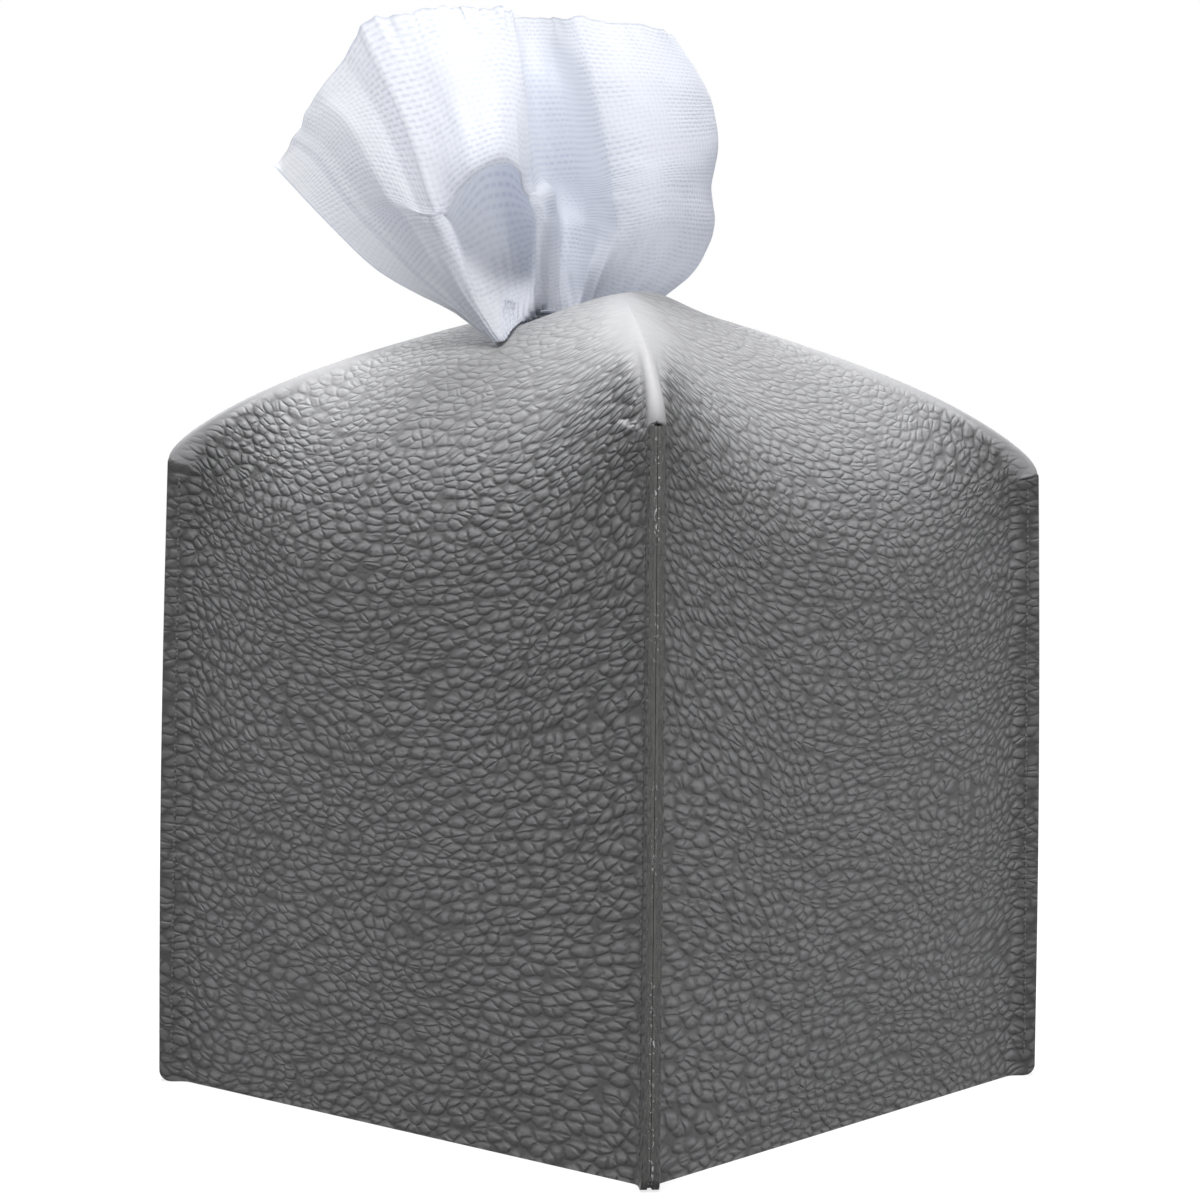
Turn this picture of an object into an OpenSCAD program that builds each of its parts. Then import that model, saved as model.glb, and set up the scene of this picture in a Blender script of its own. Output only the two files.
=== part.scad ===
// Soft leather cover for a cube carton of tissues, shown over its carton, with one tissue pulled up.
// Origin: middle of the base, on the surface that the cover stands on. +Z is up, walls face X and Y.

/* [Cover] */
// Width of the cover between the outer faces of two walls
wall_w = 122; // [110:1:150]
// Height of the four corner seams
seam_h = 127; // [110:1:150]
// Height at which the middle of a wall starts to round over
shoulder_h = 98; // [80:1:105]
// Height of the top round the opening
crown_h = 157; // [150:1:170]
// Thickness of the grain layer
grain_t = 1.1; // [0.8:0.1:1.6]
// Thickness of the cloth behind the grain layer
cloth_t = 0.4; // [0.3:0.1:0.8]
// How far the cloth stops short of the cut bottom edge
cloth_hem = 0.3; // [0.2:0.1:1]
// How far a wall swells at half height
wall_swell = 0.7; // [0:0.1:2]

/* [Corner fins] */
// How far a fin stands out beyond the corner of the walls
fin_out = 3.9; // [3:0.1:8]
// Gap between the two pressed faces of a fin
fin_gap = 0.1; // [0.1:0.05:0.4]
// Radius at which a wall turns into its fin
bend_r = 3; // [2:0.5:6]
// Radius of the bottom corner of a fin
fin_round = 2.5; // [1:0.1:3.5]
// Length over which the ridge above a seam fades out
ridge_run = 8; // [5:0.5:14]

/* [Opening] */
// Length of the opening, along X
mouth_l = 66; // [50:1:72]
// Width of the opening, along Y
mouth_w = 33; // [26:1:38]
// How far the rim rises at its front
rim_hump = 2.5; // [0:0.5:4]
// How far the rim dips where the tissue leans over it
rim_dip = 7.5; // [0:0.5:9]

/* [Seam thread] */
// Thickness of the thread
thread_d = 0.5; // [0.3:0.1:0.8]
// Distance between two needle holes
stitch_pitch = 3.2; // [2.4:0.1:5]
// Distance of the stitches from the cut edge of the fin
stitch_inset = 2.4; // [2:0.1:4]
// Distance of the first and last stitch from the ends of the seam
stitch_end = 4; // [3:0.5:10]

/* [Carton] */
// Gap between the carton and the cloth of the cover
carton_clear = 4; // [1:0.5:6]
// Gap between the carton's top edges and the cloth of the dome
carton_top_clear = 1.2; // [0.8:0.1:6]
// Thickness of the carton board
board_t = 0.6; // [0.4:0.1:1]
// Radius of the carton's vertical folds
fold_r = 1.2; // [1:0.1:3]
// Distance from the edge of the outer base flap to the back wall
flap_back = 14; // [5:1:30]
// Reach of the two inner base flaps
flap_reach = 38; // [20:1:50]
// Length of the carton's mouth
carton_mouth_l = 84; // [72:1:96]
// Width of the carton's mouth
carton_mouth_w = 46; // [30:1:60]
// Thickness of the film under the carton's mouth
film_t = 0.2; // [0.1:0.05:0.4]
// How far the film reaches past the carton's mouth
film_margin = 7; // [4:0.5:8]
// Length of the slit in the film
slit_l = 70; // [40:1:80]
// Width of the slit, held open by the tissue
slit_w = 9; // [7:0.5:16]

/* [Stacked tissues] */
// Number of interfolded bundles in the stack
bundle_count = 13; // [6:1:18]
// Free height between the stack and the top of the carton
stack_headspace = 30; // [24:1:60]
// Gap between two panels
panel_gap = 0.3; // [0.2:0.1:0.6]
// Gap between the stack and the carton's walls
stack_clear = 2.5; // [1:0.5:6]

/* [Pulled tissue] */
// Width of the spread tissue
tissue_w = 92; // [70:1:110]
// Depth of the spread tissue, from its middle to its nearest fold
tissue_depth = 40; // [34:1:44]
// Rise of the tissue above the rim
tissue_rise = 64; // [45:1:80]
// Thickness of the gathered plies
tissue_t = 0.5; // [0.3:0.1:0.8]
// How far the tail hangs below the carton's top
tail_drop = 17; // [10:1:20]
// Width of the gathered tail
tail_w = 24; // [16:1:30]
// Thickness of the gathered tail
tail_thick = 4; // [2:0.5:5]
// How far the gathered neck leans from the slit towards one end of the opening
neck_lean = 11; // [6:0.5:14]
// How far the spread tissue is turned away from the opening's length
tissue_turn_angle = -49.7; // [-60:0.1:-30]

/* [Hidden] */
$fn = 48;

leather_t = grain_t + cloth_t;
half_w = wall_w / 2;
fin_half = leather_t + fin_gap / 2;
fin_tip = half_w * sqrt(2) + fin_out;
bend_x = half_w - fin_half * sqrt(2) - tan(22.5) * bend_r;

// Cells across half a wall, round its bend and out along its fin
wall_cells = 5;
bend_cells = 2;
fin_cells = 4;
half_cells = wall_cells + bend_cells + fin_cells;
columns = 2 * half_cells;
// Shares of the wall's height at which its rows lie; the last is the top of the seam
wall_row_shares = [0, 0.32, 0.64, 0.985, 1];
seam_row = len(wall_row_shares) - 1;
dome_rows = 10;
rows = seam_row + dome_rows;

// How the dome's profile bends: at the middle of a wall, and at a corner
profile_mid_shares = [1.2, 2.18];
profile_corner_shares = [1.74, 1.61];
// How sharply the shoulder and the profile change towards a corner
shoulder_power = 2.75;
profile_power = 6.87;
// How the outline seen from above turns from square at the wall to round at the opening
round_power = 0.5;
round_corner_power = 4;
// How soft the crease up each corner is, at the wall and at the opening, and how far it is lifted
crease_shares = [0.03, 0.57];
crease_lift_share = 0.46;
// Directions in which the rim rises and dips, and the angles over which it does
hump_angle = -112;
hump_spread_angle = 34;
dip_angle = 178;
dip_spread_angle = 25;

// Half thickness of a fin, measured to the surface that lies off behind the grain
function fin_at(off) = fin_half - off;
function swell(share) = wall_swell * sin(180 * share);
// A distance out along the fin, and one from its middle plane, as a place
function on_fin(along, aside) = [along - aside, -along - aside] / sqrt(2);

// Half a wall seen from above, from its middle to the cut edge of the fin. The wall faces -Y.
function wall_place(i, off, grow, closed) =
    let (bend_share = (i - wall_cells) / bend_cells,
         flat_push = [0, -grow],
         fin_push = [grow, -grow] / 2)
    bend_share <= 0 ? [bend_x * sin(90 * i / wall_cells), off - half_w] + flat_push
    : bend_share <= 1 ? bend_place(45 * bend_share, off) + blend(flat_push, fin_push, bend_share)
    : fin_place(i - wall_cells - bend_cells, off, closed) + fin_push;
function bend_place(turn, off) =
    [bend_x + (bend_r + off) * sin(turn), (bend_r + off) * cos(turn) - half_w - bend_r];
function fin_root(off) = let (p = bend_place(45, off)) (p.x - p.y) / sqrt(2);
function fin_turn(i) = i <= 1 ? 0 : 90 * (i - 2) / (fin_cells - 2);
function fin_place(i, off, closed) =
    let (h = closed ? fin_at(off) : fin_half,
         tip = closed ? fin_tip - off : fin_tip,
         along = i <= 1 ? (fin_root(off) + tip - h) / 2 : tip - h + h * sin(fin_turn(i)),
         aside = closed ? h * cos(fin_turn(i)) : fin_at(off))
    on_fin(along, aside);
// Height at which the rounded bottom corner of a fin starts, at the place i along it
function fin_foot(i) =
    let (from_edge = fin_half * (1 - sin(fin_turn(i))), inward = max(0, fin_round - from_edge))
    i <= 1 ? 0 : fin_round - sqrt(fin_round * fin_round - inward * inward);

// The same half wall with a plain corner and no fin
function plain_place(i, off) =
    i <= wall_cells ? [bend_x * sin(90 * i / wall_cells), off - half_w]
    : [bend_x + (half_w - off - bend_x) * (i - wall_cells) / (bend_cells + fin_cells), off - half_w];

function mouth_radius(turn) =
    1 / sqrt(pow(2 * cos(turn) / mouth_l, 2) + pow(2 * sin(turn) / mouth_w, 2));
function angle_between(a, b) = abs((a - b + 540) % 360 - 180);
function rim_relief(turn) =
    rim_hump * exp(-pow(angle_between(turn, hump_angle) / hump_spread_angle, 2))
    - rim_dip * exp(-pow(angle_between(turn, dip_angle) / dip_spread_angle, 2));

function blend(a, b, share) = a + (b - a) * share;
// From 0 at the middle of a wall to 1 at its corner, with a softer crease nearer the opening
function corner_share(w, t) =
    let (soft = blend(crease_shares[1], crease_shares[0], t))
    max(0, min(1, 1 - sqrt(pow(1 - w, 2) + soft * soft) + soft * crease_lift_share));

// Height of the dome where it is the share t of the way out from the opening to the wall
function shoulder(w, t) = blend(shoulder_h, seam_h, pow(corner_share(w, t), shoulder_power));
function dome_height(w, t, off, turn) =
    let (c = pow(corner_share(w, t), profile_power),
         m = blend(profile_mid_shares[0], profile_corner_shares[0], c),
         n = blend(profile_mid_shares[1], profile_corner_shares[1], c),
         low = shoulder(w, t),
         top = crown_h - off + rim_relief(turn) * pow(1 - t, 2))
    low + (top - low) * pow(max(0, 1 - pow(t, m)), 1 / n);

// One point of the sheet at depth off: k is the wall, row counts up from the cut bottom edge,
// and column runs from one fin to the next
function sheet_point(k, row, column, off, hem) =
    let (i = abs(column - half_cells),
         flip = column < half_cells ? -1 : 1,
         plain = plain_place(i, off),
         w = plain.x / (half_w - off),
         p = row <= seam_row ? wall_point(i, row, off, w, hem)
             : dome_point(i, k, flip, row, off, w, plain))
    turn_z([flip * p.x, p.y, p.z], 90 * k);
function wall_point(i, row, off, w, hem) =
    let (share = wall_row_shares[row],
         p = wall_place(i, off, swell(share), row == seam_row),
         foot = hem + fin_foot(i - wall_cells - bend_cells))
    [p.x, p.y, row == 0 ? foot : share * shoulder(w, 1)];
function dome_point(i, k, flip, row, off, w, plain) =
    let (t = cos(90 * (row - seam_row) / dome_rows),
         a = atan2(plain.x, -plain.y),
         turn = 90 * k - 90 + flip * a,
         rounded = cos(a) / pow(pow(cos(a), round_corner_power) + pow(sin(a), round_corner_power),
                                1 / round_corner_power),
         fade = exp((t - 1) * half_w * sqrt(2) / ridge_run),
         corner = wall_place(i, off, 0, true) - plain,
         outer = plain * blend(rounded, 1, pow(t, round_power)) + fade * corner,
         inner = mouth_radius(turn) * [sin(a), -cos(a)],
         p = blend(inner, outer, t))
    [p.x, p.y, dome_height(w, t, off, turn)];
function turn_z(p, a) = [p.x * cos(a) - p.y * sin(a), p.x * sin(a) + p.y * cos(a), p.z];

// Numbers of the points: the four walls are apart up to the top of the seams, and joined above
function sheet_index(side, k, row, column) =
    let (joined = row >= seam_row && column == columns,
         wall = joined ? (k + 1) % 4 : k,
         c = joined ? 0 : column)
    ((side * 4 + wall) * (rows + 1) + row) * (columns + 1) + c;
function quad(a, b, c, d) = [[a, b, c], [a, c, d]];

// A sheet with its faces at the depths near and far behind the grain
module cut_sheet(near, far, hem) {
    points = [for (side = [0, 1]) for (k = [0:3]) for (row = [0:rows]) for (column = [0:columns])
        sheet_point(k, row, column, side == 0 ? near : far, hem)];
    skin = [for (k = [0:3]) for (row = [0:rows - 1]) for (c = [0:columns - 1])
        each concat(
            quad(sheet_index(0, k, row, c), sheet_index(0, k, row + 1, c),
                 sheet_index(0, k, row + 1, c + 1), sheet_index(0, k, row, c + 1)),
            quad(sheet_index(1, k, row, c), sheet_index(1, k, row, c + 1),
                 sheet_index(1, k, row + 1, c + 1), sheet_index(1, k, row + 1, c)))];
    ends = [for (k = [0:3]) for (c = [0:columns - 1])
        each concat(
            quad(sheet_index(0, k, 0, c), sheet_index(0, k, 0, c + 1),
                 sheet_index(1, k, 0, c + 1), sheet_index(1, k, 0, c)),
            quad(sheet_index(0, k, rows, c), sheet_index(1, k, rows, c),
                 sheet_index(1, k, rows, c + 1), sheet_index(0, k, rows, c + 1)))];
    cuts = [for (k = [0:3]) for (row = [0:seam_row - 1])
        each concat(
            quad(sheet_index(0, k, row, 0), sheet_index(1, k, row, 0),
                 sheet_index(1, k, row + 1, 0), sheet_index(0, k, row + 1, 0)),
            quad(sheet_index(0, k, row, columns), sheet_index(0, k, row + 1, columns),
                 sheet_index(1, k, row + 1, columns), sheet_index(1, k, row, columns)))];
    polyhedron(points, concat(skin, ends, cuts));
}

module leather_shell() {
    color([0.34, 0.34, 0.35]) cut_sheet(0, grain_t, 0);
}

module backing_cloth() {
    color([0.36, 0.36, 0.37]) cut_sheet(grain_t, leather_t, cloth_hem);
}

// Stitches through one fin: a leg at each needle hole, and a bar between holes on both faces
module seam_thread(k) {
    stitches = floor((seam_h - 2 * stitch_end) / stitch_pitch);
    reach = fin_half + thread_d / 2;
    color([0.2, 0.2, 0.21])
        rotate([0, 0, 90 * k - 45])
            translate([fin_tip - stitch_inset, 0, stitch_end])
                rotate([90, 0, 90])
                    linear_extrude(thread_d, center = true)
                        difference() {
                            translate([-reach, 0])
                                square([2 * reach, stitches * stitch_pitch + thread_d]);
                            for (i = [0:stitches - 1])
                                translate([thread_d - reach, thread_d + i * stitch_pitch])
                                    square([2 * (reach - thread_d), stitch_pitch - thread_d]);
                        }
}
module seam_thread_front_left() { seam_thread(3); }
module seam_thread_front_right() { seam_thread(0); }
module seam_thread_back_right() { seam_thread(1); }
module seam_thread_back_left() { seam_thread(2); }

carton_w = wall_w - 2 * leather_t - 2 * carton_clear;
// The carton's top edges lie under the dome, which is lowest at the middle of a wall
function dome_over_edge(mouth_reach) =
    let (t = (carton_w / 2 - mouth_reach) / (half_w - leather_t - mouth_reach))
    dome_height(0, t, leather_t, dip_angle);
carton_h = min(dome_over_edge(mouth_l / 2), dome_over_edge(mouth_w / 2)) - carton_top_clear;
// Overrun of a cut past the face that it goes through
cut_over = 1;

module round_square(w, r) {
    square([w - 2 * r, w], center = true);
    square([w, w - 2 * r], center = true);
    for (x = [-1, 1], y = [-1, 1]) translate([x, y] * (w / 2 - r)) circle(r);
}

module long_hole(l, w) {
    square([l - w, w], center = true);
    for (x = [-1, 1]) translate([x * (l - w) / 2, 0]) circle(w / 2);
}

module carton() {
    inner_w = carton_w - 2 * board_t;
    color([0.80, 0.78, 0.74]) {
        difference() {
            linear_extrude(carton_h) round_square(carton_w, fold_r);
            translate([0, 0, 2 * board_t])
                linear_extrude(carton_h - 3 * board_t) round_square(inner_w, fold_r - board_t);
            translate([0, 0, carton_h - board_t - cut_over])
                linear_extrude(board_t + 2 * cut_over) long_hole(carton_mouth_l, carton_mouth_w);
            // The outer base flap stops short of the back wall
            translate([-carton_w / 2 - cut_over, carton_w / 2 - flap_back, -cut_over])
                cube([carton_w + 2 * cut_over, flap_back + cut_over, board_t + cut_over]);
        }
        for (side = [-1, 1])
            translate([side * (inner_w - flap_reach) / 2, 0, 2 * board_t + board_t / 2])
                cube([flap_reach, inner_w - 2 * fold_r, board_t], center = true);
    }
}

module carton_film() {
    film_top = carton_h - board_t;
    lens_r = (pow(slit_l / 2, 2) + pow(slit_w / 2, 2)) / slit_w;
    color([0.9, 0.93, 0.96, 0.6])
        translate([0, 0, film_top - film_t])
            linear_extrude(film_t)
                difference() {
                    square([carton_mouth_l, carton_mouth_w] + [2, 2] * film_margin, center = true);
                    intersection() {
                        translate([0, lens_r - slit_w / 2]) circle(lens_r, $fn = 4 * $fn);
                        translate([0, slit_w / 2 - lens_r]) circle(lens_r, $fn = 4 * $fn);
                    }
                }
}

stack_w = carton_w - 2 * board_t - 2 * stack_clear;
stack_base = 3 * board_t + panel_gap;
// Each bundle has two panels
panel_pitch = (carton_h - stack_headspace - stack_base + panel_gap) / (2 * bundle_count);
panel_t = panel_pitch - panel_gap;

// A bundle folded once: two panels, this many panel pitches apart, joined by a round fold
module folded_bundle(apart) {
    fold_out = (apart * panel_pitch + panel_t) / 2;
    edge_in = 2 * panel_pitch;
    middle = stack_w / 2 - 2 * panel_pitch;
    rotate([90, 0, 0])
        linear_extrude(stack_w, center = true)
            difference() {
                union() {
                    translate([-stack_w / 2 + edge_in, 0])
                        square([stack_w / 2 - edge_in + middle, 2 * fold_out]);
                    intersection() {
                        translate([middle, fold_out]) circle(fold_out);
                        translate([middle - fold_out, 0]) square([2 * fold_out, 2 * fold_out]);
                    }
                }
                translate([-stack_w, panel_t]) square([stack_w + middle, 2 * (fold_out - panel_t)]);
                translate([middle, fold_out]) circle(fold_out - panel_t);
            }
}

module tissue_stack() {
    color([0.95, 0.95, 0.96])
        for (i = [0:bundle_count - 1])
            translate([0, 0, stack_base + (i == 0 ? 0 : 2 * i - 1) * panel_pitch])
                mirror([i % 2, 0, 0])
                    folded_bundle(i == 0 || i == bundle_count - 1 ? 2 : 3);
}

// Places along the pulled tissue. Each line is one fold or edge, and runs up from the rim.
// Each place is a share of the width to the right of the left corner, a share of the depth
// towards the front, and a share of the rise above the top of the cover.
fold_line_shares = [
    // Left edge, left panel and the bright fold beside the pocket
    [[0.53, 0.62, -0.02], [0.52, 0.95, -0.175], [0.43, 0.82, -0.07], [0.33, 0.72, 0.02],
     [0.25, 0.68, 0.11], [0.14, 0.55, 0.27], [0.07, 0.45, 0.38], [0.02, 0.35, 0.46]],
    [[0.53, 0.66, -0.02], [0.52, 0.96, -0.175], [0.45, 0.88, -0.05], [0.38, 0.85, 0.09],
     [0.32, 0.82, 0.22], [0.27, 0.75, 0.31], [0.18, 0.53, 0.53], [0.10, 0.30, 0.64]],
    [[0.54, 0.66, -0.02], [0.53, 0.97, -0.175], [0.47, 0.93, -0.04], [0.43, 0.90, 0.11],
     [0.40, 0.88, 0.21], [0.39, 0.85, 0.24], [0.31, 0.55, 0.56], [0.20, 0.23, 0.88]],
    // Through the pocket and over its arch
    [[0.55, 0.62, -0.02], [0.54, 0.96, -0.17], [0.49, 0.75, -0.02], [0.45, 0.57, 0.16],
     [0.42, 0.38, 0.35], [0.44, 0.90, 0.29], [0.38, 0.57, 0.60], [0.29, 0.20, 0.94]],
    [[0.56, 0.58, -0.02], [0.55, 0.92, -0.14], [0.52, 0.53, 0.03], [0.49, 0.30, 0.23],
     [0.46, 0.15, 0.50], [0.48, 0.90, 0.34], [0.43, 0.57, 0.64], [0.35, 0.15, 0.97]],
    [[0.58, 0.50, -0.02], [0.56, 0.82, -0.11], [0.55, 0.40, 0.07], [0.53, 0.17, 0.26],
     [0.52, 0.07, 0.53], [0.53, 0.82, 0.38], [0.49, 0.53, 0.66], [0.41, 0.12, 0.98]],
    [[0.60, 0.40, -0.05], [0.58, 0.62, -0.06], [0.58, 0.40, 0.09], [0.57, 0.30, 0.26],
     [0.56, 0.30, 0.42], [0.56, 0.72, 0.37], [0.53, 0.45, 0.68], [0.47, 0.10, 0.98]],
    // The ridge beside the pocket, and the valley
    [[0.61, 0.33, -0.05], [0.60, 0.45, -0.01], [0.60, 0.53, 0.10], [0.60, 0.57, 0.22],
     [0.58, 0.60, 0.30], [0.57, 0.62, 0.35], [0.56, 0.38, 0.68], [0.52, 0.07, 0.98]],
    [[0.64, 0.22, -0.04], [0.63, 0.28, 0.03], [0.63, 0.30, 0.14], [0.63, 0.33, 0.25],
     [0.62, 0.33, 0.35], [0.61, 0.30, 0.42], [0.59, 0.20, 0.72], [0.56, 0.03, 0.97]],
    [[0.67, 0.08, -0.04], [0.67, 0.05, 0.06], [0.68, 0, 0.18], [0.69, -0.03, 0.31],
     [0.68, -0.05, 0.42], [0.67, -0.07, 0.51], [0.64, -0.10, 0.77], [0.61, -0.07, 0.98]],
    // The lobe on the right and its edge
    [[0.70, 0.12, -0.03], [0.72, 0.20, 0.03], [0.75, 0.33, 0.13], [0.77, 0.42, 0.22],
     [0.76, 0.45, 0.33], [0.75, 0.42, 0.44], [0.71, 0.28, 0.70], [0.66, 0.07, 0.95]],
    [[0.75, 0.08, -0.02], [0.76, 0.15, 0.03], [0.83, 0.35, 0.13], [0.87, 0.45, 0.24],
     [0.87, 0.47, 0.36], [0.86, 0.42, 0.48], [0.83, 0.28, 0.71], [0.78, 0.07, 0.94]],
    [[0.80, -0.05, -0.01], [0.85, -0.05, 0.05], [0.94, 0.03, 0.15], [0.98, 0.07, 0.28],
     [0.97, 0.07, 0.41], [0.99, 0.05, 0.56], [0.96, 0.03, 0.74], [0.89, 0, 0.91]],
    // The back, from right to left
    [[0.78, -0.14, -0.01], [0.83, -0.20, 0.07], [0.90, -0.28, 0.20], [0.95, -0.33, 0.34],
     [0.95, -0.35, 0.48], [0.95, -0.33, 0.63], [0.93, -0.30, 0.79], [0.86, -0.23, 0.91]],
    [[0.72, -0.17, -0.01], [0.74, -0.23, 0.06], [0.74, -0.35, 0.23], [0.73, -0.42, 0.38],
     [0.73, -0.45, 0.52], [0.72, -0.40, 0.67], [0.71, -0.35, 0.81], [0.69, -0.30, 0.93]],
    [[0.66, -0.14, -0.02], [0.65, -0.17, 0.06], [0.61, -0.23, 0.21], [0.56, -0.28, 0.36],
     [0.51, -0.30, 0.50], [0.48, -0.28, 0.64], [0.45, -0.23, 0.79], [0.42, -0.17, 0.94]],
    [[0.61, -0.04, -0.02], [0.60, -0.07, 0.04], [0.52, -0.10, 0.17], [0.43, -0.10, 0.31],
     [0.36, -0.07, 0.46], [0.32, -0.03, 0.60], [0.29, 0, 0.74], [0.27, 0, 0.85]]
];
// Where the folds lie in the gathered tail: shares of its half width and of its half thickness
tail_shares = [
    [-1.0, 0.1], [-0.87, 0.8], [-0.72, 0.35], [-0.56, 0.95], [-0.4, 0.4], [-0.24, 0.95],
    [-0.08, 0.4], [0.08, 0.95], [0.25, 0.4], [0.42, 0.9], [0.6, 0.4], [0.8, 0.85],
    [1.0, 0], [0.7, -0.8], [0.25, -0.45], [-0.2, -0.9], [-0.6, -0.5]
];
// How much narrower the gathers are at the neck than in the tail
neck_share = 0.9;
// Where the left corner of the spread tissue lies, and how far the gathers are set back
left_corner_share = 0.76;
set_back_share = 0.25;

tissue_steps = 2;
fold_steps = 2;
tail_lines = 3;
fold_count = len(fold_line_shares);
tissue_columns = (fold_count - 1) * tissue_steps;

function faced(p, d, turn) = [p * cos(turn) + d * sin(turn), p * sin(turn) - d * cos(turn)];
function tissue_place(share) =
    let (q = faced((share.x - left_corner_share) * tissue_w, share.y * tissue_depth, tissue_turn_angle))
    [q.x, q.y, crown_h + share.z * tissue_rise];
function tail_place(share, z, turn, lean) =
    let (q = faced(share.x * tail_w / 2, (share.y / 2 - set_back_share) * tail_thick, turn))
    [q.x - lean, q.y, z];
function fold_line(i) = concat(
    [tail_place(tail_shares[i], carton_h - tail_drop, 0, 0),
     tail_place(tail_shares[i], carton_h, 0, 0),
     tail_place(tail_shares[i] * neck_share, crown_h - leather_t - tail_thick, tissue_turn_angle, neck_lean)],
    [for (share = fold_line_shares[i]) tissue_place(share)]);

// A smooth curve through four places, between the middle two
function curve_at(a, b, c, d, t) =
    (2 * b + (c - a) * t + (2 * a - 5 * b + 4 * c - d) * t * t + (3 * b - a - 3 * c + d) * t * t * t) / 2;
function smooth(list, steps, plain = 0) =
    let (n = len(list))
    [for (i = [0:n - 2]) let (parts = i < plain ? 1 : steps) for (j = [0:parts - 1])
        curve_at(list[max(0, i - 1)], list[i], list[i + 1], list[min(n - 1, i + 2)], j / parts),
     list[n - 1]];

fold_lines = [for (i = [0:fold_count - 1]) smooth(fold_line(i), fold_steps, tail_lines)];
tissue_rows = len(fold_lines[0]) - 1;
tissue_grid = [for (row = [0:tissue_rows]) smooth([for (line = fold_lines) line[row]], tissue_steps)];

function unit(v) = v / max(norm(v), 1e-9);
function grid_normal(row, column) =
    unit(cross(tissue_grid[row][min(tissue_columns, column + 1)] - tissue_grid[row][max(0, column - 1)],
               tissue_grid[min(tissue_rows, row + 1)][column] - tissue_grid[max(0, row - 1)][column]));
function tissue_index(side, row, column) =
    (side * (tissue_rows + 1) + row) * (tissue_columns + 1) + column;

module popup_tissue() {
    points = [for (side = [1, -1]) for (row = [0:tissue_rows]) for (column = [0:tissue_columns])
        tissue_grid[row][column] + side * tissue_t / 2 * grid_normal(row, column)];
    faces = [for (row = [0:tissue_rows - 1]) for (c = [0:tissue_columns - 1])
        each concat(
            quad(tissue_index(0, row, c), tissue_index(0, row + 1, c),
                 tissue_index(0, row + 1, c + 1), tissue_index(0, row, c + 1)),
            quad(tissue_index(1, row, c), tissue_index(1, row, c + 1),
                 tissue_index(1, row + 1, c + 1), tissue_index(1, row + 1, c)))];
    ends = [for (c = [0:tissue_columns - 1])
        each concat(
            quad(tissue_index(0, 0, c), tissue_index(0, 0, c + 1),
                 tissue_index(1, 0, c + 1), tissue_index(1, 0, c)),
            quad(tissue_index(0, tissue_rows, c), tissue_index(1, tissue_rows, c),
                 tissue_index(1, tissue_rows, c + 1), tissue_index(0, tissue_rows, c + 1)))];
    sides = [for (row = [0:tissue_rows - 1])
        each concat(
            quad(tissue_index(0, row, 0), tissue_index(1, row, 0),
                 tissue_index(1, row + 1, 0), tissue_index(0, row + 1, 0)),
            quad(tissue_index(0, row, tissue_columns), tissue_index(0, row + 1, tissue_columns),
                 tissue_index(1, row + 1, tissue_columns), tissue_index(1, row, tissue_columns)))];
    color([0.93, 0.94, 0.97]) polyhedron(points, concat(faces, ends, sides));
}

leather_shell();
backing_cloth();
seam_thread_front_left();
seam_thread_front_right();
seam_thread_back_right();
seam_thread_back_left();
carton();
carton_film();
tissue_stack();
popup_tissue();
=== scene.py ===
import math

import bmesh
import bpy
import numpy as np
from mathutils import Matrix, Vector


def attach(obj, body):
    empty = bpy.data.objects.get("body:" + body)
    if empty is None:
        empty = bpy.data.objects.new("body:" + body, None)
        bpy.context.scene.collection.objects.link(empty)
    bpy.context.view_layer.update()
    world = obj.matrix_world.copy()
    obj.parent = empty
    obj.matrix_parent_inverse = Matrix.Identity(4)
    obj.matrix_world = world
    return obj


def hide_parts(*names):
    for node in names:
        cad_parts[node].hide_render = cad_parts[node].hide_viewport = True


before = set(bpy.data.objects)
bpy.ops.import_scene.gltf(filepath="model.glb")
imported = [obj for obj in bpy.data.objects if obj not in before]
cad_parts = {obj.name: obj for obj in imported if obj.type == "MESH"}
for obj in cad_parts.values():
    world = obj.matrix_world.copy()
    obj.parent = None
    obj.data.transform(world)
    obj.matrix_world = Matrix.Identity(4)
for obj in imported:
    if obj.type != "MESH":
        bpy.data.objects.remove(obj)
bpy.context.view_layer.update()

MM = 0.001


# ---- Camera, fitted to the box corners in the photograph, with its angles in degrees ----
CAMERA_PLACE = (-331.2, -278.4, 90.9)
CAMERA_YAW, CAMERA_PITCH, CAMERA_ROLL = 49.71, 0.96, 0.59
FOCAL_SHARE = 2094 / 1200
SENSOR = 36.0


def make_camera():
    yaw, pitch, roll = (math.radians(a) for a in (CAMERA_YAW, CAMERA_PITCH, CAMERA_ROLL))
    forward = Vector((math.sin(yaw) * math.cos(pitch), math.cos(yaw) * math.cos(pitch), math.sin(pitch)))
    level = Vector((math.cos(yaw), -math.sin(yaw), 0))
    upright = level.cross(forward)
    right = math.cos(roll) * level + math.sin(roll) * upright
    up = -math.sin(roll) * level + math.cos(roll) * upright
    data = bpy.data.cameras.new("camera")
    data.sensor_fit = "HORIZONTAL"
    data.sensor_width = SENSOR
    data.lens = SENSOR * FOCAL_SHARE
    data.clip_start, data.clip_end = 0.01, 50
    camera = bpy.data.objects.new("camera", data)
    bpy.context.scene.collection.objects.link(camera)
    camera.matrix_world = Matrix.Translation(Vector(CAMERA_PLACE) * MM) @ Matrix(
        (right, up, -forward)).transposed().to_4x4()
    bpy.context.scene.camera = camera


make_camera()


# ---- Small tools ----
def blend(a, b, share):
    return a + (b - a) * share


def smoothstep(low, high, x):
    t = np.clip((x - low) / (high - low), 0, 1)
    return t * t * (3 - 2 * t)


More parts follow.
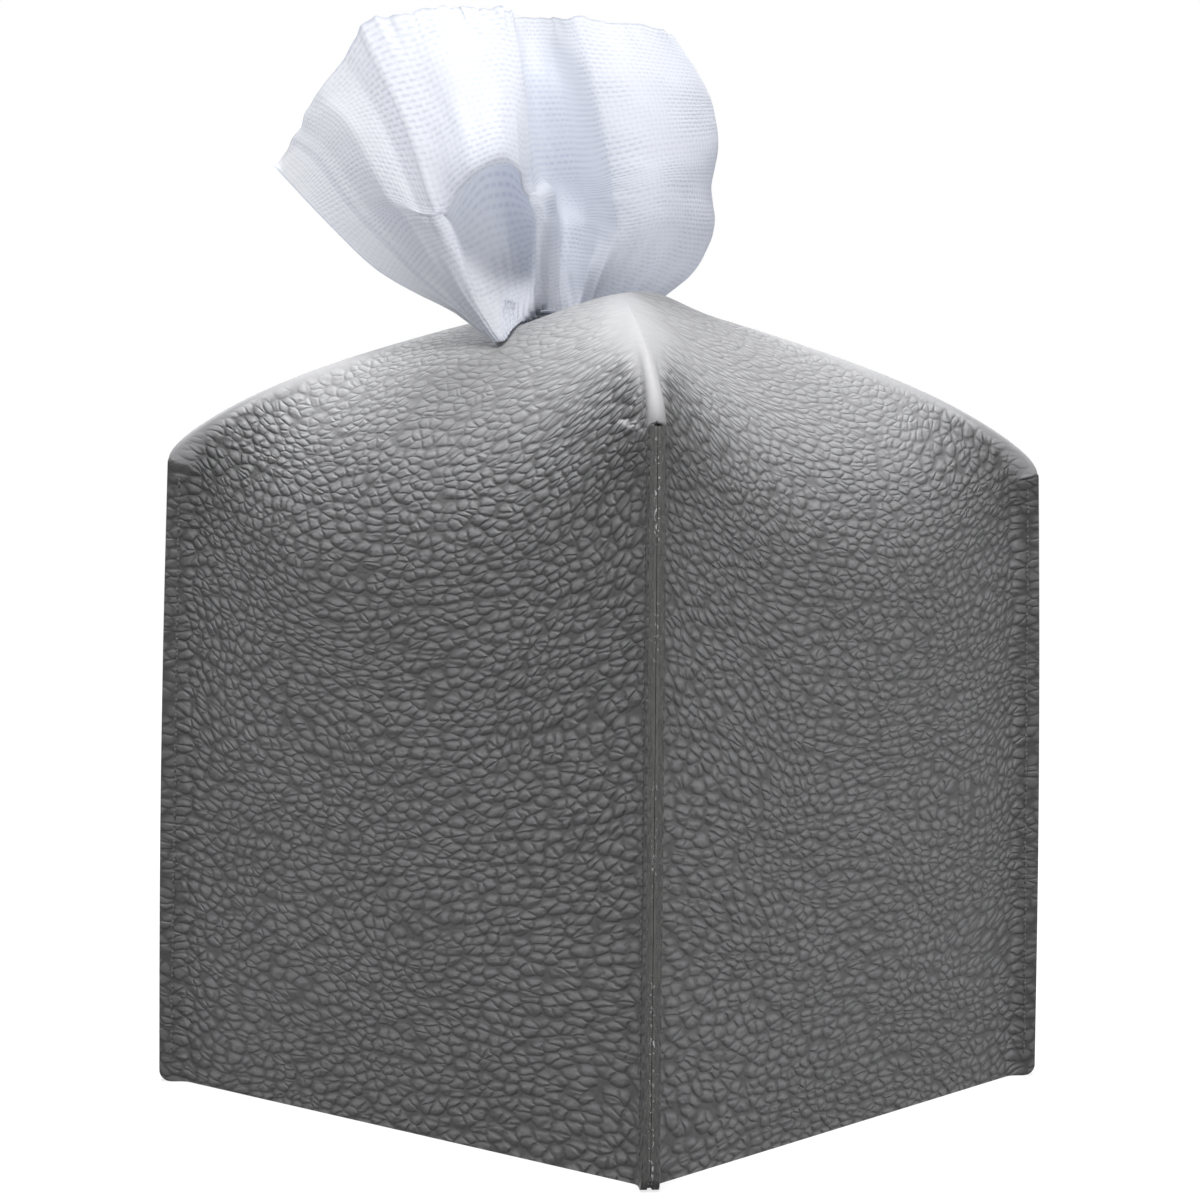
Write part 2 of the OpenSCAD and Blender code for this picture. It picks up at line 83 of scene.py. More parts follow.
def mesh_object(name, points, faces, materials, face_slots=None, sharp=None):
    """A smooth shaded mesh from points in mm. Edges sharper than the angle stay sharp, if it is given."""
    mesh = bpy.data.meshes.new(name)
    mesh.from_pydata((np.asarray(points) * MM).tolist(), [], [list(map(int, f)) for f in faces])
    for material in materials:
        mesh.materials.append(material)
    if face_slots is not None:
        mesh.polygons.foreach_set("material_index", np.asarray(face_slots, np.int32))
    mesh.shade_smooth()
    if sharp is not None:
        mesh.set_sharp_from_angle(angle=math.radians(sharp))
    mesh.update()
    made = bpy.data.objects.new(name, mesh)
    bpy.context.scene.collection.objects.link(made)
    return made


def set_uv(made, name, uv):
    """One texture place for each point of a mesh, in metres."""
    mesh = made.data
    corner = np.zeros(len(mesh.loops), np.int32)
    mesh.loops.foreach_get("vertex_index", corner)
    layer = mesh.uv_layers.new(name=name)
    layer.data.foreach_set("uv", (np.asarray(uv)[corner] * MM).astype(np.float32).ravel())


def set_share(made, name, values):
    """One value for each point of a mesh, for its material to read."""
    attribute = made.data.attributes.new(name, "FLOAT", "POINT")
    attribute.data.foreach_set("value", np.asarray(values, np.float32))


def grid_faces(index):
    """Quads over a grid of point numbers."""
    return np.stack([index[:-1, :-1], index[:-1, 1:], index[1:, 1:], index[1:, :-1]], -1).reshape(-1, 4)


NOISE_WAVES, NOISE_SPREAD, NOISE_GAIN = 7, (0.7, 1.5), 1.6


def soft_noise(x, y, length, seed):
    """A smooth seeded field between about -1 and 1: a sum of waves of about the length."""
    source = np.random.default_rng(seed)
    total = 0
    for _ in range(NOISE_WAVES):
        turn, phase = source.uniform(0, 2 * np.pi, 2)
        k = 2 * np.pi / (length * source.uniform(*NOISE_SPREAD))
        total = total + np.sin(k * (x * np.cos(turn) + y * np.sin(turn)) + phase)
    return total / NOISE_WAVES * NOISE_GAIN


# ---- Materials ----
class Shader:
    """A node material, with short calls for its nodes."""

    def __init__(self, name, **sockets):
        self.material = bpy.data.materials.new(name)
        self.material.use_nodes = True
        self.tree = self.material.node_tree
        self.surface = self.tree.nodes["Principled BSDF"]
        self.out = self.tree.nodes["Material Output"]
        for key, value in sockets.items():
            self.surface.inputs[key.replace("_", " ")].default_value = value

    def add(self, kind, inputs=(), out=0, **props):
        made = self.tree.nodes.new("ShaderNode" + kind)
        for key, value in props.items():
            setattr(made, key, value)
        for key, value in dict(inputs).items():
            self.feed(made.inputs[key], value)
        return made.outputs[out]

    def feed(self, socket, value):
        if isinstance(value, bpy.types.NodeSocket):
            self.tree.links.new(value, socket)
        else:
            socket.default_value = value

    def maths(self, operation, a, b=0.0, clamp=False):
        return self.add("Math", {0: a, 1: b}, operation=operation, use_clamp=clamp)

    def span(self, value, low, high, to_low=0.0, to_high=1.0, kind="LINEAR"):
        return self.add("MapRange", {"Value": value, "From Min": low, "From Max": high,
                                     "To Min": to_low, "To Max": to_high}, interpolation_type=kind)

    def blend(self, share, a, b):
        """A number between two others."""
        return self.add("Mix", {0: share, 2: a, 3: b})

    def mix(self, share, a, b, mode="MIX"):
        """A colour between two others."""
        made = self.tree.nodes.new("ShaderNodeMix")
        made.data_type, made.blend_type = "RGBA", mode
        for key, value in ((0, share), (6, a), (7, b)):
            self.feed(made.inputs[key], value)
        return made.outputs[2]

    def places(self, uv=None, scale=1000.0, turn=0.0, stretch=(1, 1, 1)):
        """Texture places, in millimetres, from a texture map of the mesh or from the object."""
        source = self.add("UVMap", uv_map=uv) if uv else self.add("TexCoord", out=3)
        return self.add("Mapping", {"Vector": source, "Rotation": (0, 0, math.radians(turn)),
                                    "Scale": tuple(scale * s for s in stretch)})

    def attribute(self, name):
        return self.add("Attribute", attribute_name=name, out=2)

    def noise(self, places, per_mm, detail=2.0, rough=0.5, colour=False, dims="3D"):
        return self.add("TexNoise", {"Vector": places, "Scale": per_mm, "Detail": detail,
                                     "Roughness": rough}, out=1 if colour else 0, noise_dimensions=dims)

    def warped(self, places, per_mm, reach, detail=1.0):
        """The places, pushed about by a noise by up to about half the reach."""
        shift = self.add("VectorMath", {0: self.noise(places, per_mm, detail, colour=True, dims="2D"),
                                        1: (0.5, 0.5, 0.5)}, operation="SUBTRACT")
        shift = self.add("VectorMath", {0: shift, "Scale": reach}, operation="SCALE")
        return self.add("VectorMath", {0: places, 1: shift}, operation="ADD")

    def split(self, places):
        """The first two parts of the places."""
        return self.add("SeparateXYZ", {0: places}).node.outputs[:2]

    def cell_edges(self, places, per_mm, randomness):
        """How far each place is from the edge of its cell."""
        return self.add("TexVoronoi", {"Vector": places, "Scale": per_mm, "Randomness": randomness},
                        feature="DISTANCE_TO_EDGE", voronoi_dimensions="2D")

    def cell_tops(self, places, per_mm, randomness, smooth):
        """How far each place is from the middle of its cell."""
        return self.add("TexVoronoi", {"Vector": places, "Scale": per_mm, "Randomness": randomness,
                                       "Smoothness": smooth}, feature="SMOOTH_F1", voronoi_dimensions="2D")

    def bump(self, height, depth_mm):
        self.feed(self.surface.inputs["Normal"],
                  self.add("Bump", {"Height": height, "Distance": depth_mm * MM}))

    def colour(self, value):
        self.feed(self.surface.inputs["Base Color"], value)

    def rough(self, value):
        self.feed(self.surface.inputs["Roughness"], value)


def grey(level, blue=0.0):
    return (level, level, level * (1 + blue), 1.0)


# Where the pale streak lies in the flat pattern, its slope there and how sharply it ends along and across
STREAK_PLACE, STREAK_SLOPE, STREAK_SHARPNESS = (689.5, 303.8, 0.0), -26.4, (0.13, 1.6, 0.0)
# Cells per mm for the pebbles, the small cells that split them and the long furrows
PEBBLES, SPLITS, FURROWS = 0.47, 0.8, 0.15
PEBBLE_RANDOM, GRAIN_DEPTH = 0.9, 0.85
DYE_DARK, DYE_PALE = grey(0.16, 0.02), grey(0.188, 0.03)
# How much lighter the painted highlight on the ridge makes the colour, how much darker the fins are, and how
# much lighter the pale streak is
RIDGE_HIGHLIGHT_SHADE, PRESSED_SHADE, STREAK_SHADE = 2.0, 0.58, 1.6


def leather_material():
    s = Shader("pebbled_leather", Specular_IOR_Level=0.32, Coat_Weight=0.06, Coat_Roughness=0.4)
    flat = s.places("sheet")
    flow = s.warped(s.warped(s.places("sheet", stretch=(0.64, 1.24, 1)), 0.03, 8.0), 0.35, 1.3, 2.0)
    smooth_and_highlight, press, fade = (s.attribute(name) for name in ("smooth_and_highlight", "press", "fade"))
    # Pebbles: round topped cells with narrow valleys, some of them split by finer furrows
    near = s.cell_tops(flow, PEBBLES, PEBBLE_RANDOM, 0.3)
    steep = s.maths("MULTIPLY", s.maths("MULTIPLY", near, near), 1.9)
    round_top = s.maths("SUBTRACT", 1.0, steep, clamp=True)
    valley = s.span(s.cell_edges(flow, PEBBLES, PEBBLE_RANDOM), 0.0, 0.22, 0.5, 1.0, "SMOOTHSTEP")
    pebble = s.maths("MULTIPLY", round_top, valley)
    small = s.cell_tops(s.warped(s.places("sheet", stretch=(0.85, 1.05, 1)), 0.3, 1.2), SPLITS, 1.0, 0.6)
    pebble = s.maths("SUBTRACT", pebble, s.maths("MULTIPLY", s.maths("MULTIPLY", small, small), 0.3))
    # Long furrows along the flow of the hide
    lines = s.warped(s.places("sheet", turn=31, stretch=(0.4, 1.0, 1.0)), 0.05, 8.0, 2.0)
    furrow = s.span(s.cell_edges(lines, FURROWS, 1.0), 0.0, 0.1, 0.5, 1.0, "SMOOTHSTEP")
    pebble = s.maths("MULTIPLY", pebble, furrow)
    swell = s.noise(flow, 0.16, 2.0)
    pores = s.noise(flat, 4.0, 3.0, 0.6)
    height = s.maths("ADD", s.maths("MULTIPLY", pebble, s.span(swell, 0.3, 0.7, 0.75, 1.15)),
                     s.maths("MULTIPLY", pores, 0.07))
    # The relief is less where the hide is stretched smooth above the seams, pressed on the fins, and towards
    # the dome's top
    keep = s.maths("MULTIPLY", s.span(smooth_and_highlight, 0.0, 0.95, 1.0, 0.0), s.span(press, 0.0, 1.0, 1.0, 0.4))
    keep = s.maths("MULTIPLY", keep, s.span(fade, 0.1, 0.9, 1.0, 0.35))
    s.bump(s.maths("MULTIPLY", height, keep), GRAIN_DEPTH)
    # Painted shade in the furrows, the tops a little worn, and the dye not quite even
    dye = s.mix(s.noise(flat, 0.03, 3.0), DYE_DARK, DYE_PALE)
    shade = s.blend(s.span(fade, 0.1, 1.0, 0.0, 0.75), s.span(pebble, 0.1, 0.75, 0.6, 1.11), 0.95)
    # Painted light makes the dome lighter towards its top, and painted shade darkens its corners
    shade = s.maths("MULTIPLY", shade, s.span(fade, -0.8, 0.8, 0.3, 1.8))
    # Painted highlight on the smooth ridge above each seam
    shade = s.blend(smooth_and_highlight, shade, RIDGE_HIGHLIGHT_SHADE)
    shade = s.maths("MULTIPLY", shade, s.span(press, 0.0, 1.0, 1.0, PRESSED_SHADE))
    # A small pale streak beside the top of the front seam, made lighter in the colour only
    near_streak = s.add("VectorMath", {0: s.warped(flat, 0.5, 1.1, 3.0), 1: STREAK_PLACE}, operation="SUBTRACT")
    near_streak = s.add("VectorRotate", {"Vector": near_streak, "Angle": math.radians(-STREAK_SLOPE)},
                       rotation_type="Z_AXIS")
    near_streak = s.add("VectorMath", {0: near_streak, 1: STREAK_SHARPNESS}, operation="MULTIPLY")
    pale_streak = s.span(s.add("VectorMath", {0: near_streak}, operation="LENGTH", out=1), 0.5, 1.0, 1.0, 0.0)
    shade = s.maths("ADD", shade, s.maths("MULTIPLY", pale_streak, STREAK_SHADE))
    s.colour(s.mix(1.0, dye, s.add("CombineColor", {0: shade, 1: shade, 2: shade}), "MULTIPLY"))
    s.rough(s.maths("ADD", s.span(pebble, 0.2, 0.8, 0.6, 0.46), s.maths("MULTIPLY", smooth_and_highlight, 0.15)))
    return s.material


def cut_edge_material():
    s = Shader("leather_cut_edge", Roughness=0.9, Specular_IOR_Level=0.25, Sheen_Weight=0.25)
    fibres = s.noise(s.places(stretch=(1, 1, 0.3)), 2.2, 5.0, 0.75)
    fine = s.noise(s.places(), 7.0, 3.0, 0.7)
    specks = s.span(s.noise(s.places(stretch=(1, 1, 0.7)), 3.0, 3.0, 0.7), 0.6, 0.7, 0.0, 0.6)
    colour = s.mix(s.span(fibres, 0.4, 0.78), grey(0.1, 0.01), (0.22, 0.215, 0.205, 1))
    s.colour(s.mix(specks, colour, grey(0.36, -0.02)))
    s.bump(s.maths("ADD", fibres, s.maths("MULTIPLY", fine, 0.5)), 0.3)
    return s.material


def fibre_material():
    """The cut edge of the backing cloth: dark, with a few pale fibre ends."""
    s = Shader("cut_fibres", Roughness=0.95, Specular_IOR_Level=0.2, Sheen_Weight=0.3)
    strands = s.noise(s.places(stretch=(1, 1, 0.35)), 1.3, 4.0, 0.7)
    place = s.places(stretch=(1, 1, 0.6))
    ends = s.maths("MULTIPLY", s.span(s.noise(place, 2.1, 2.0, 0.6), 0.55, 0.62),
                   s.span(s.noise(place, 0.12, 1.0), 0.38, 0.52))
    s.colour(s.mix(ends, s.mix(strands, grey(0.06), grey(0.22, -0.03)), grey(0.65, 0.03)))
    s.bump(s.maths("ADD", strands, ends), 0.3)
    return s.material


def backing_material():
    s = Shader("backing_cloth", Roughness=0.95, Specular_IOR_Level=0.2, Sheen_Weight=0.3)
    place = s.places("sheet")
    warp, weft = (s.add("TexWave", {"Vector": place, "Scale": 0.55, "Distortion": 1.2, "Detail Scale": 2.0},
                        out=1, bands_direction=way) for way in "XY")
    weave = s.maths("MULTIPLY", warp, weft)
    nap = s.noise(place, 1.4, 4.0, 0.7)
    s.colour(s.mix(s.maths("ADD", s.maths("MULTIPLY", weave, 0.5), s.maths("MULTIPLY", nap, 0.5)),
                   grey(0.07, 0.03), grey(0.16, 0.03)))
    s.bump(s.maths("ADD", weave, nap), 0.25)
    return s.material


def thread_material():
    s = Shader("sewing_thread", Roughness=0.6, Specular_IOR_Level=0.4, Sheen_Weight=0.2)
    twist = s.add("TexWave", {"Vector": s.places(), "Scale": 0.62, "Distortion": 0.6}, out=1,
                  bands_direction="DIAGONAL")
    s.colour(s.mix(twist, grey(0.07, 0.04), grey(0.13, 0.04)))
    s.bump(twist, 0.12)
    return s.material


def board_material():
    s = Shader("carton_board", Roughness=0.72, Specular_IOR_Level=0.35)
    fibres = s.noise(s.places(stretch=(1, 1, 0.25)), 1.6, 5.0, 0.7)
    cloud = s.noise(s.places(), 0.05, 2.0)
    uneven = s.maths("ADD", s.maths("MULTIPLY", fibres, 0.6), s.maths("MULTIPLY", cloud, 0.4))
    s.colour(s.mix(s.span(uneven, 0.35, 0.65), (0.56, 0.535, 0.49, 1), (0.68, 0.66, 0.62, 1)))
    s.bump(fibres, 0.06)
    return s.material


def film_material():
    s = Shader("clear_film", Base_Color=(0.9, 0.93, 0.96, 1), Roughness=0.12, Alpha=0.32, IOR=1.5,
               Specular_IOR_Level=0.6)
    s.bump(s.noise(s.places(), 0.12, 3.0), 1.2)
    return s.material


# The emboss: how far apart its rows, the dashes in a row and its fine cords stand, in mm, and how far
# each row is shifted. The hem's pressed strip and the line beside it end at these places, in mm.
ROW_PITCH, DASH_PITCH, CORD_PITCH, ROW_SHIFT = 1.4, 1.5, 0.9, 0.62
STRIP_END, LINE_START, LINE_END = (5.5, 7.5), (5.0, 6.5), (6.5, 8.0)
# How much each counts in the relief and in the colour. The marks and the rim add painted shade to the colour,
# in the emboss's hollows and along the cut edge, and the fibre adds an uneven tone
CORD_RISE, FIBRE_RISE, MARK_DEPTH, PAPER_DEPTH = 0.18, 0.5, 0.5, 0.13
MARK_SHADE, FIBRE_INK, RIM_SHADE, GLOW_SHARE = 0.62, 0.4, 0.8, 0.44
# The paper's white, the colour of its painted shade and fibre tone, and the tint of the light through it
PAPER_WHITE, PAPER_TONE_AND_SHADE, PAPER_GLOW = (0.86, 0.87, 0.9, 1), (0.6, 0.63, 0.71, 1), (0.8, 0.83, 0.9, 1)


def paper(name, uv, hem=False):
    """Soft tissue paper, embossed with rows of small dashes, with a pressed strip along one edge."""
    s = Shader(name, Roughness=0.95, Specular_IOR_Level=0.12, Sheen_Weight=0.15, Sheen_Roughness=0.5)
    flat = s.places(uv)
    place = s.warped(flat, 0.06, 0.7, 2.0)
    across, along = s.split(place)

    def ridge(value, pitch, low, high):
        wave = s.maths("SINE", s.maths("MULTIPLY", value, 2 * math.pi / pitch))
        return s.span(wave, low, high, kind="SMOOTHSTEP")

    row_number = s.maths("FLOOR", s.maths("DIVIDE", along, ROW_PITCH))
    shifted = s.maths("ADD", across, s.maths("MULTIPLY", row_number, ROW_SHIFT))
    groove = ridge(along, ROW_PITCH, -0.6, 0.9)
    dashes = ridge(shifted, DASH_PITCH, -0.8, 0.3)
    cords = ridge(across, CORD_PITCH, -1.0, 1.0)
    strength = s.span(s.noise(flat, 0.09, 3.0, 0.6), 0.36, 0.6)
    fibre = s.noise(s.places(uv, stretch=(1.6, 0.8, 1)), 1.5, 5.0, 0.72)
    marks = s.maths("MULTIPLY", groove, s.span(dashes, 0.0, 1.0, 0.35, 1.0))
    marks = s.maths("MULTIPLY", marks, s.span(strength, 0.0, 1.0, 0.3, 1.0))
    height = s.maths("ADD", s.maths("MULTIPLY", cords, CORD_RISE), s.maths("MULTIPLY", fibre, FIBRE_RISE))
    height = s.maths("SUBTRACT", height, s.maths("MULTIPLY", marks, MARK_DEPTH))
    # The embossed marks are painted darker, as painted shade in their hollows, and the fibre gives an uneven
    # tone
    fibre_tone_and_shade = s.maths("ADD", s.maths("MULTIPLY", marks, MARK_SHADE), s.maths("MULTIPLY", fibre, FIBRE_INK),
                  clamp=True)
    if hem:
        edge, end = s.split(flat)
        strip = s.maths("SUBTRACT", 1.0, s.span(edge, *STRIP_END, kind="SMOOTHSTEP"))
        line = s.maths("MULTIPLY", s.span(edge, *LINE_START, kind="SMOOTHSTEP"),
                       s.maths("SUBTRACT", 1.0, s.span(edge, *LINE_END, kind="SMOOTHSTEP")))
        # The pressed strip has fewer marks, and the line beside it is painted darker: painted shade in its
        # groove
        fibre_tone_and_shade = s.maths("MULTIPLY", fibre_tone_and_shade, s.maths("SUBTRACT", 1.0, s.maths("MULTIPLY", strip, 0.7)))
        fibre_tone_and_shade = s.maths("ADD", fibre_tone_and_shade, s.maths("MULTIPLY", line, 0.3), clamp=True)
        # The cut edge all round is painted a little darker: painted shade along the edge
        near_side = s.maths("MINIMUM", edge, s.maths("SUBTRACT", TISSUE_FLAT[0], edge))
        near_end = s.maths("SUBTRACT", TISSUE_FLAT[1], end)
        rim = s.span(s.maths("MINIMUM", near_side, near_end), 0.15, 0.5, RIM_SHADE, 0.0)
        fibre_tone_and_shade = s.maths("ADD", fibre_tone_and_shade, rim, clamp=True)
        height = s.maths("SUBTRACT", height, s.maths("MULTIPLY", line, 0.8))
    s.bump(height, PAPER_DEPTH)
    colour = s.mix(fibre_tone_and_shade, PAPER_WHITE, PAPER_TONE_AND_SHADE)
    s.colour(colour)
    # Light comes through the thin paper
    glow = s.add("BsdfTranslucent", {"Color": s.mix(0.5, colour, PAPER_GLOW)})
    made = s.add("MixShader", {0: GLOW_SHARE, 1: s.surface.outputs[0], 2: glow})
    s.feed(s.out.inputs["Surface"], made)
    return s.material


def background_rays(tree):
    """1 for the rays that show the white background: seen, mirrored or through something clear."""
    path = tree.nodes.new("ShaderNodeLightPath")
    seen = path.outputs["Is Camera Ray"]
    for name in ("Is Transmission Ray", "Is Glossy Ray"):
        larger = tree.nodes.new("ShaderNodeMath")
        larger.operation = "MAXIMUM"
        tree.links.new(seen, larger.inputs[0])
        tree.links.new(path.outputs[name], larger.inputs[1])
        seen = larger.outputs[0]
    return seen


# How white the floor is seen at two distances, in metres, from its middle
FLOOR_NEAR, FLOOR_FAR, FLOOR_WHITE_NEAR, FLOOR_WHITE_FAR = 0.2, 1.4, 0.78, 1.0


def floor_material():
    s = Shader("pale_floor", Base_Color=grey(0.25), Roughness=0.8, Specular_IOR_Level=0.2)
    s.bump(s.noise(s.places(), 0.5, 3.0), 0.05)
    s.feed(s.surface.inputs["Emission Color"], (1, 1, 1, 1))
    away = s.add("VectorMath", {0: s.places(scale=1.0)}, operation="LENGTH", out=1)
    white = s.span(away, FLOOR_NEAR, FLOOR_FAR, FLOOR_WHITE_NEAR, FLOOR_WHITE_FAR)
    s.feed(s.surface.inputs["Emission Strength"], s.maths("MULTIPLY", background_rays(s.tree), white))
    return s.material


# ---- The cover ----
WALL_W, SEAM_H, SHOULDER_H, CROWN_H = 122, 127, 98, 157
GRAIN_T, CLOTH_T, CLOTH_HEM, WALL_SWELL = 1.1, 0.4, 0.3, 0.7
FIN_OUT, FIN_GAP, BEND_R, FIN_ROUND, RIDGE_RUN = 3.9, 0.1, 3, 2.5, 8
MOUTH_L, MOUTH_W, RIM_HUMP, RIM_DIP = 66, 33, 2.5, 7.5
PROFILE_MID, PROFILE_CORNER = (1.2, 2.18), (1.74, 1.61)
SHOULDER_POWER, PROFILE_POWER, ROUND_POWER, ROUND_CORNER = 2.75, 6.87, 0.5, 4
CREASE, CREASE_LIFT = (0.57, 0.03), 0.46
HUMP, DIP = (-112, 34), (178, 25)
LEATHER_T = GRAIN_T + CLOTH_T
HALF_W = WALL_W / 2
FIN_HALF = LEATHER_T + FIN_GAP / 2
FIN_TIP = HALF_W * math.sqrt(2) + FIN_OUT
BEND_X = HALF_W - FIN_HALF * math.sqrt(2) - math.tan(math.pi / 8) * BEND_R
# A cut edge is rounded by this much, and the fins close over this height below the top of the seam
CUT_ROUND, FIN_CLOSE, CUT_EDGE_ANGLE = 0.3, 1.0, 50
# The flat patterns of the walls lie this far apart, across and up. Below the seam's top they follow the
# wall's height by this share.
PATTERN_STEP, PATTERN_RISE, FLOW_RISE = 210, 0.3, 0.5
# The sheet's slow unevenness. It runs out over these shares of the half wall, and over this many rows at the
# foot and at the mouth. Above RIPPLE_TURN it points upwards too.
RIPPLE, RIPPLE_LENGTH, RIPPLE_SEED, RIPPLE_TURN = 0.35, 34, 3, 90
RIPPLE_CALM, RIPPLE_FOOT_ROWS, RIPPLE_MOUTH_ROWS = (0.8, 0.95), 12, 6


# The dome as in the part's source: w is the share across half a wall, t the share out from the mouth
def corner_share(w, t):
    soft = blend(CREASE[0], CREASE[1], t)
    return np.clip(1 - np.sqrt((1 - w) ** 2 + soft ** 2) + soft * CREASE_LIFT, 0, 1)


def shoulder(w, t):
    return blend(SHOULDER_H, SEAM_H, corner_share(w, t) ** SHOULDER_POWER)


def rim_relief(turn):
    def near(place):
        return np.exp(-(((turn - place[0] + 540) % 360 - 180) / place[1]) ** 2)
    return RIM_HUMP * near(HUMP) - RIM_DIP * near(DIP)


def dome_height(w, t, off, turn):
    c = corner_share(w, t) ** PROFILE_POWER
    m = blend(PROFILE_MID[0], PROFILE_CORNER[0], c)
    n = blend(PROFILE_MID[1], PROFILE_CORNER[1], c)
    low = shoulder(w, t)
    top = CROWN_H - off + rim_relief(turn) * (1 - t) ** 2
    return low + (top - low) * np.clip(1 - t ** m, 0, None) ** (1 / n)


class Cover:
    """The sheet of the cover at any depth behind its grain, as a fine grid for each of its walls."""

    def __init__(self, wall_cells, bend_cells, fin_cells, wall_rows, close_rows, dome_rows):
        self.cells = (wall_cells, bend_cells, fin_cells)
        half = wall_cells + bend_cells + fin_cells
        self.half, self.columns = half, 2 * half
        close = FIN_CLOSE / SEAM_H
        shares = np.concatenate([np.linspace(0, 1 - close, wall_rows + 1),
                                 1 - close + close * np.sin(np.linspace(0, np.pi / 2, close_rows + 1)[1:])])
        shut = np.clip((shares - 1 + close) / close, 0, 1)
        self.shares, self.shut = shares, 1 - np.sqrt(np.clip(1 - shut ** 2, 0, 1))
        self.seam_row = len(shares) - 1
        self.rows = self.seam_row + dome_rows
        self.t = np.cos(np.pi / 2 * np.arange(dome_rows + 1) / dome_rows)

    def half_wall(self, off, grow, shut, foot=False):
        """Half a wall seen from above, from its middle to the cut edge of the fin, and if asked how far the
        fin's rounded foot lifts it."""
        wall, bend, fin = self.cells
        i = np.arange(self.half + 1)
        turn = np.pi / 4 * np.clip((i - wall) / bend, 0, 1)
        x = np.where(i <= wall, BEND_X * np.sin(np.pi / 2 * i / wall),
                     BEND_X + (BEND_R + off) * np.sin(turn))
        y = np.where(i <= wall, off - HALF_W, (BEND_R + off) * np.cos(turn) - HALF_W - BEND_R)
        ex = BEND_X + (BEND_R + off) * math.sin(math.pi / 4)
        ey = (BEND_R + off) * math.cos(math.pi / 4) - HALF_W - BEND_R
        root = (ex - ey) / math.sqrt(2)
        straight = fin // 3
        j = i - wall - bend
        angle = np.pi / 2 * np.clip((j - straight) / (fin - straight), 0, 1)

        def along(tip, h):
            return np.where(j <= straight, root + (tip - h - root) * j / straight,
                            tip - h + h * np.sin(angle))
        h = FIN_HALF - off
        open_along = along(FIN_TIP, FIN_HALF)
        open_aside = np.full_like(open_along, h)
        if off == 0:
            inward = np.clip(CUT_ROUND - (FIN_TIP - open_along), 0, CUT_ROUND)
            open_aside = h - CUT_ROUND + np.sqrt(CUT_ROUND ** 2 - inward ** 2)
        a = blend(open_along, along(FIN_TIP - off, h), shut)
        b = blend(open_aside, h * np.cos(angle), shut)
        fx, fy = (a - b) / math.sqrt(2), (-a - b) / math.sqrt(2)
        x, y = np.where(j > 0, fx, x), np.where(j > 0, fy, y)
        bend_share = np.clip((i - wall) / bend, 0, 1)
        places = np.stack([x + grow / 2 * bend_share, y - grow * (1 - bend_share / 2)], -1)
        if not foot:
            return places
        inward = np.where(j > 0, np.clip(FIN_ROUND - (FIN_TIP - open_along), 0, FIN_ROUND), 0)
        return places, FIN_ROUND - np.sqrt(FIN_ROUND ** 2 - inward ** 2)

    def plain(self, off):
        """The same for a wall that runs to a plain corner with no fin."""
        wall = self.cells[0]
        i = np.arange(self.half + 1)
        x = np.where(i <= wall, BEND_X * np.sin(np.pi / 2 * i / wall),
                     BEND_X + (HALF_W - off - BEND_X) * (i - wall) / (self.half - wall))
        return np.stack([x, np.full_like(x, off - HALF_W)], -1)

    def points(self, off, hem):
        """All points at one depth: by wall, by row from the bottom to the mouth, and along the row."""
        plain = self.plain(off)
        w = plain[:, 0] / (HALF_W - off)
        a = np.arctan2(plain[:, 0], -plain[:, 1])
        half = np.zeros((4, 2, self.rows + 1, self.half + 1, 3))
        for row in range(self.seam_row + 1):
            share = self.shares[row]
            xy, foot = self.half_wall(off, WALL_SWELL * math.sin(math.pi * share), self.shut[row], True)
            half[:, :, row, :, :2] = xy
            half[:, :, row, :, 2] = share * shoulder(w, 1) + (hem + foot) * (1 - share) ** 4
        rounded = np.cos(a) / (np.cos(a) ** ROUND_CORNER + np.sin(a) ** ROUND_CORNER) ** (1 / ROUND_CORNER)
        corner = self.half_wall(off, 0, 1.0) - plain
        for k in range(4):
            for side, flip in enumerate((-1, 1)):
                turn = 90 * k - 90 + flip * np.degrees(a)
                reach = 1 / np.sqrt((2 * np.cos(np.radians(turn)) / MOUTH_L) ** 2
                                    + (2 * np.sin(np.radians(turn)) / MOUTH_W) ** 2)
                inner = reach[:, None] * np.stack([np.sin(a), -np.cos(a)], -1)
                for row in range(self.seam_row, self.rows + 1):
                    t = self.t[row - self.seam_row]
                    fade = math.exp((t - 1) * HALF_W * math.sqrt(2) / RIDGE_RUN)
                    outer = plain * blend(rounded, 1, t ** ROUND_POWER)[:, None] + fade * corner
                    half[k, side, row, :, :2] = blend(inner, outer, t)
                    half[k, side, row, :, 2] = dome_height(w, t, off, turn)
        full = np.concatenate([half[:, 0, :, :0:-1] * [-1, 1, 1], half[:, 1]], 2)
        for k in range(4):
            c, s = math.cos(math.pi / 2 * k), math.sin(math.pi / 2 * k)
            x, y = full[k, ..., 0].copy(), full[k, ..., 1].copy()
            full[k, ..., 0], full[k, ..., 1] = x * c - y * s, x * s + y * c
        return full

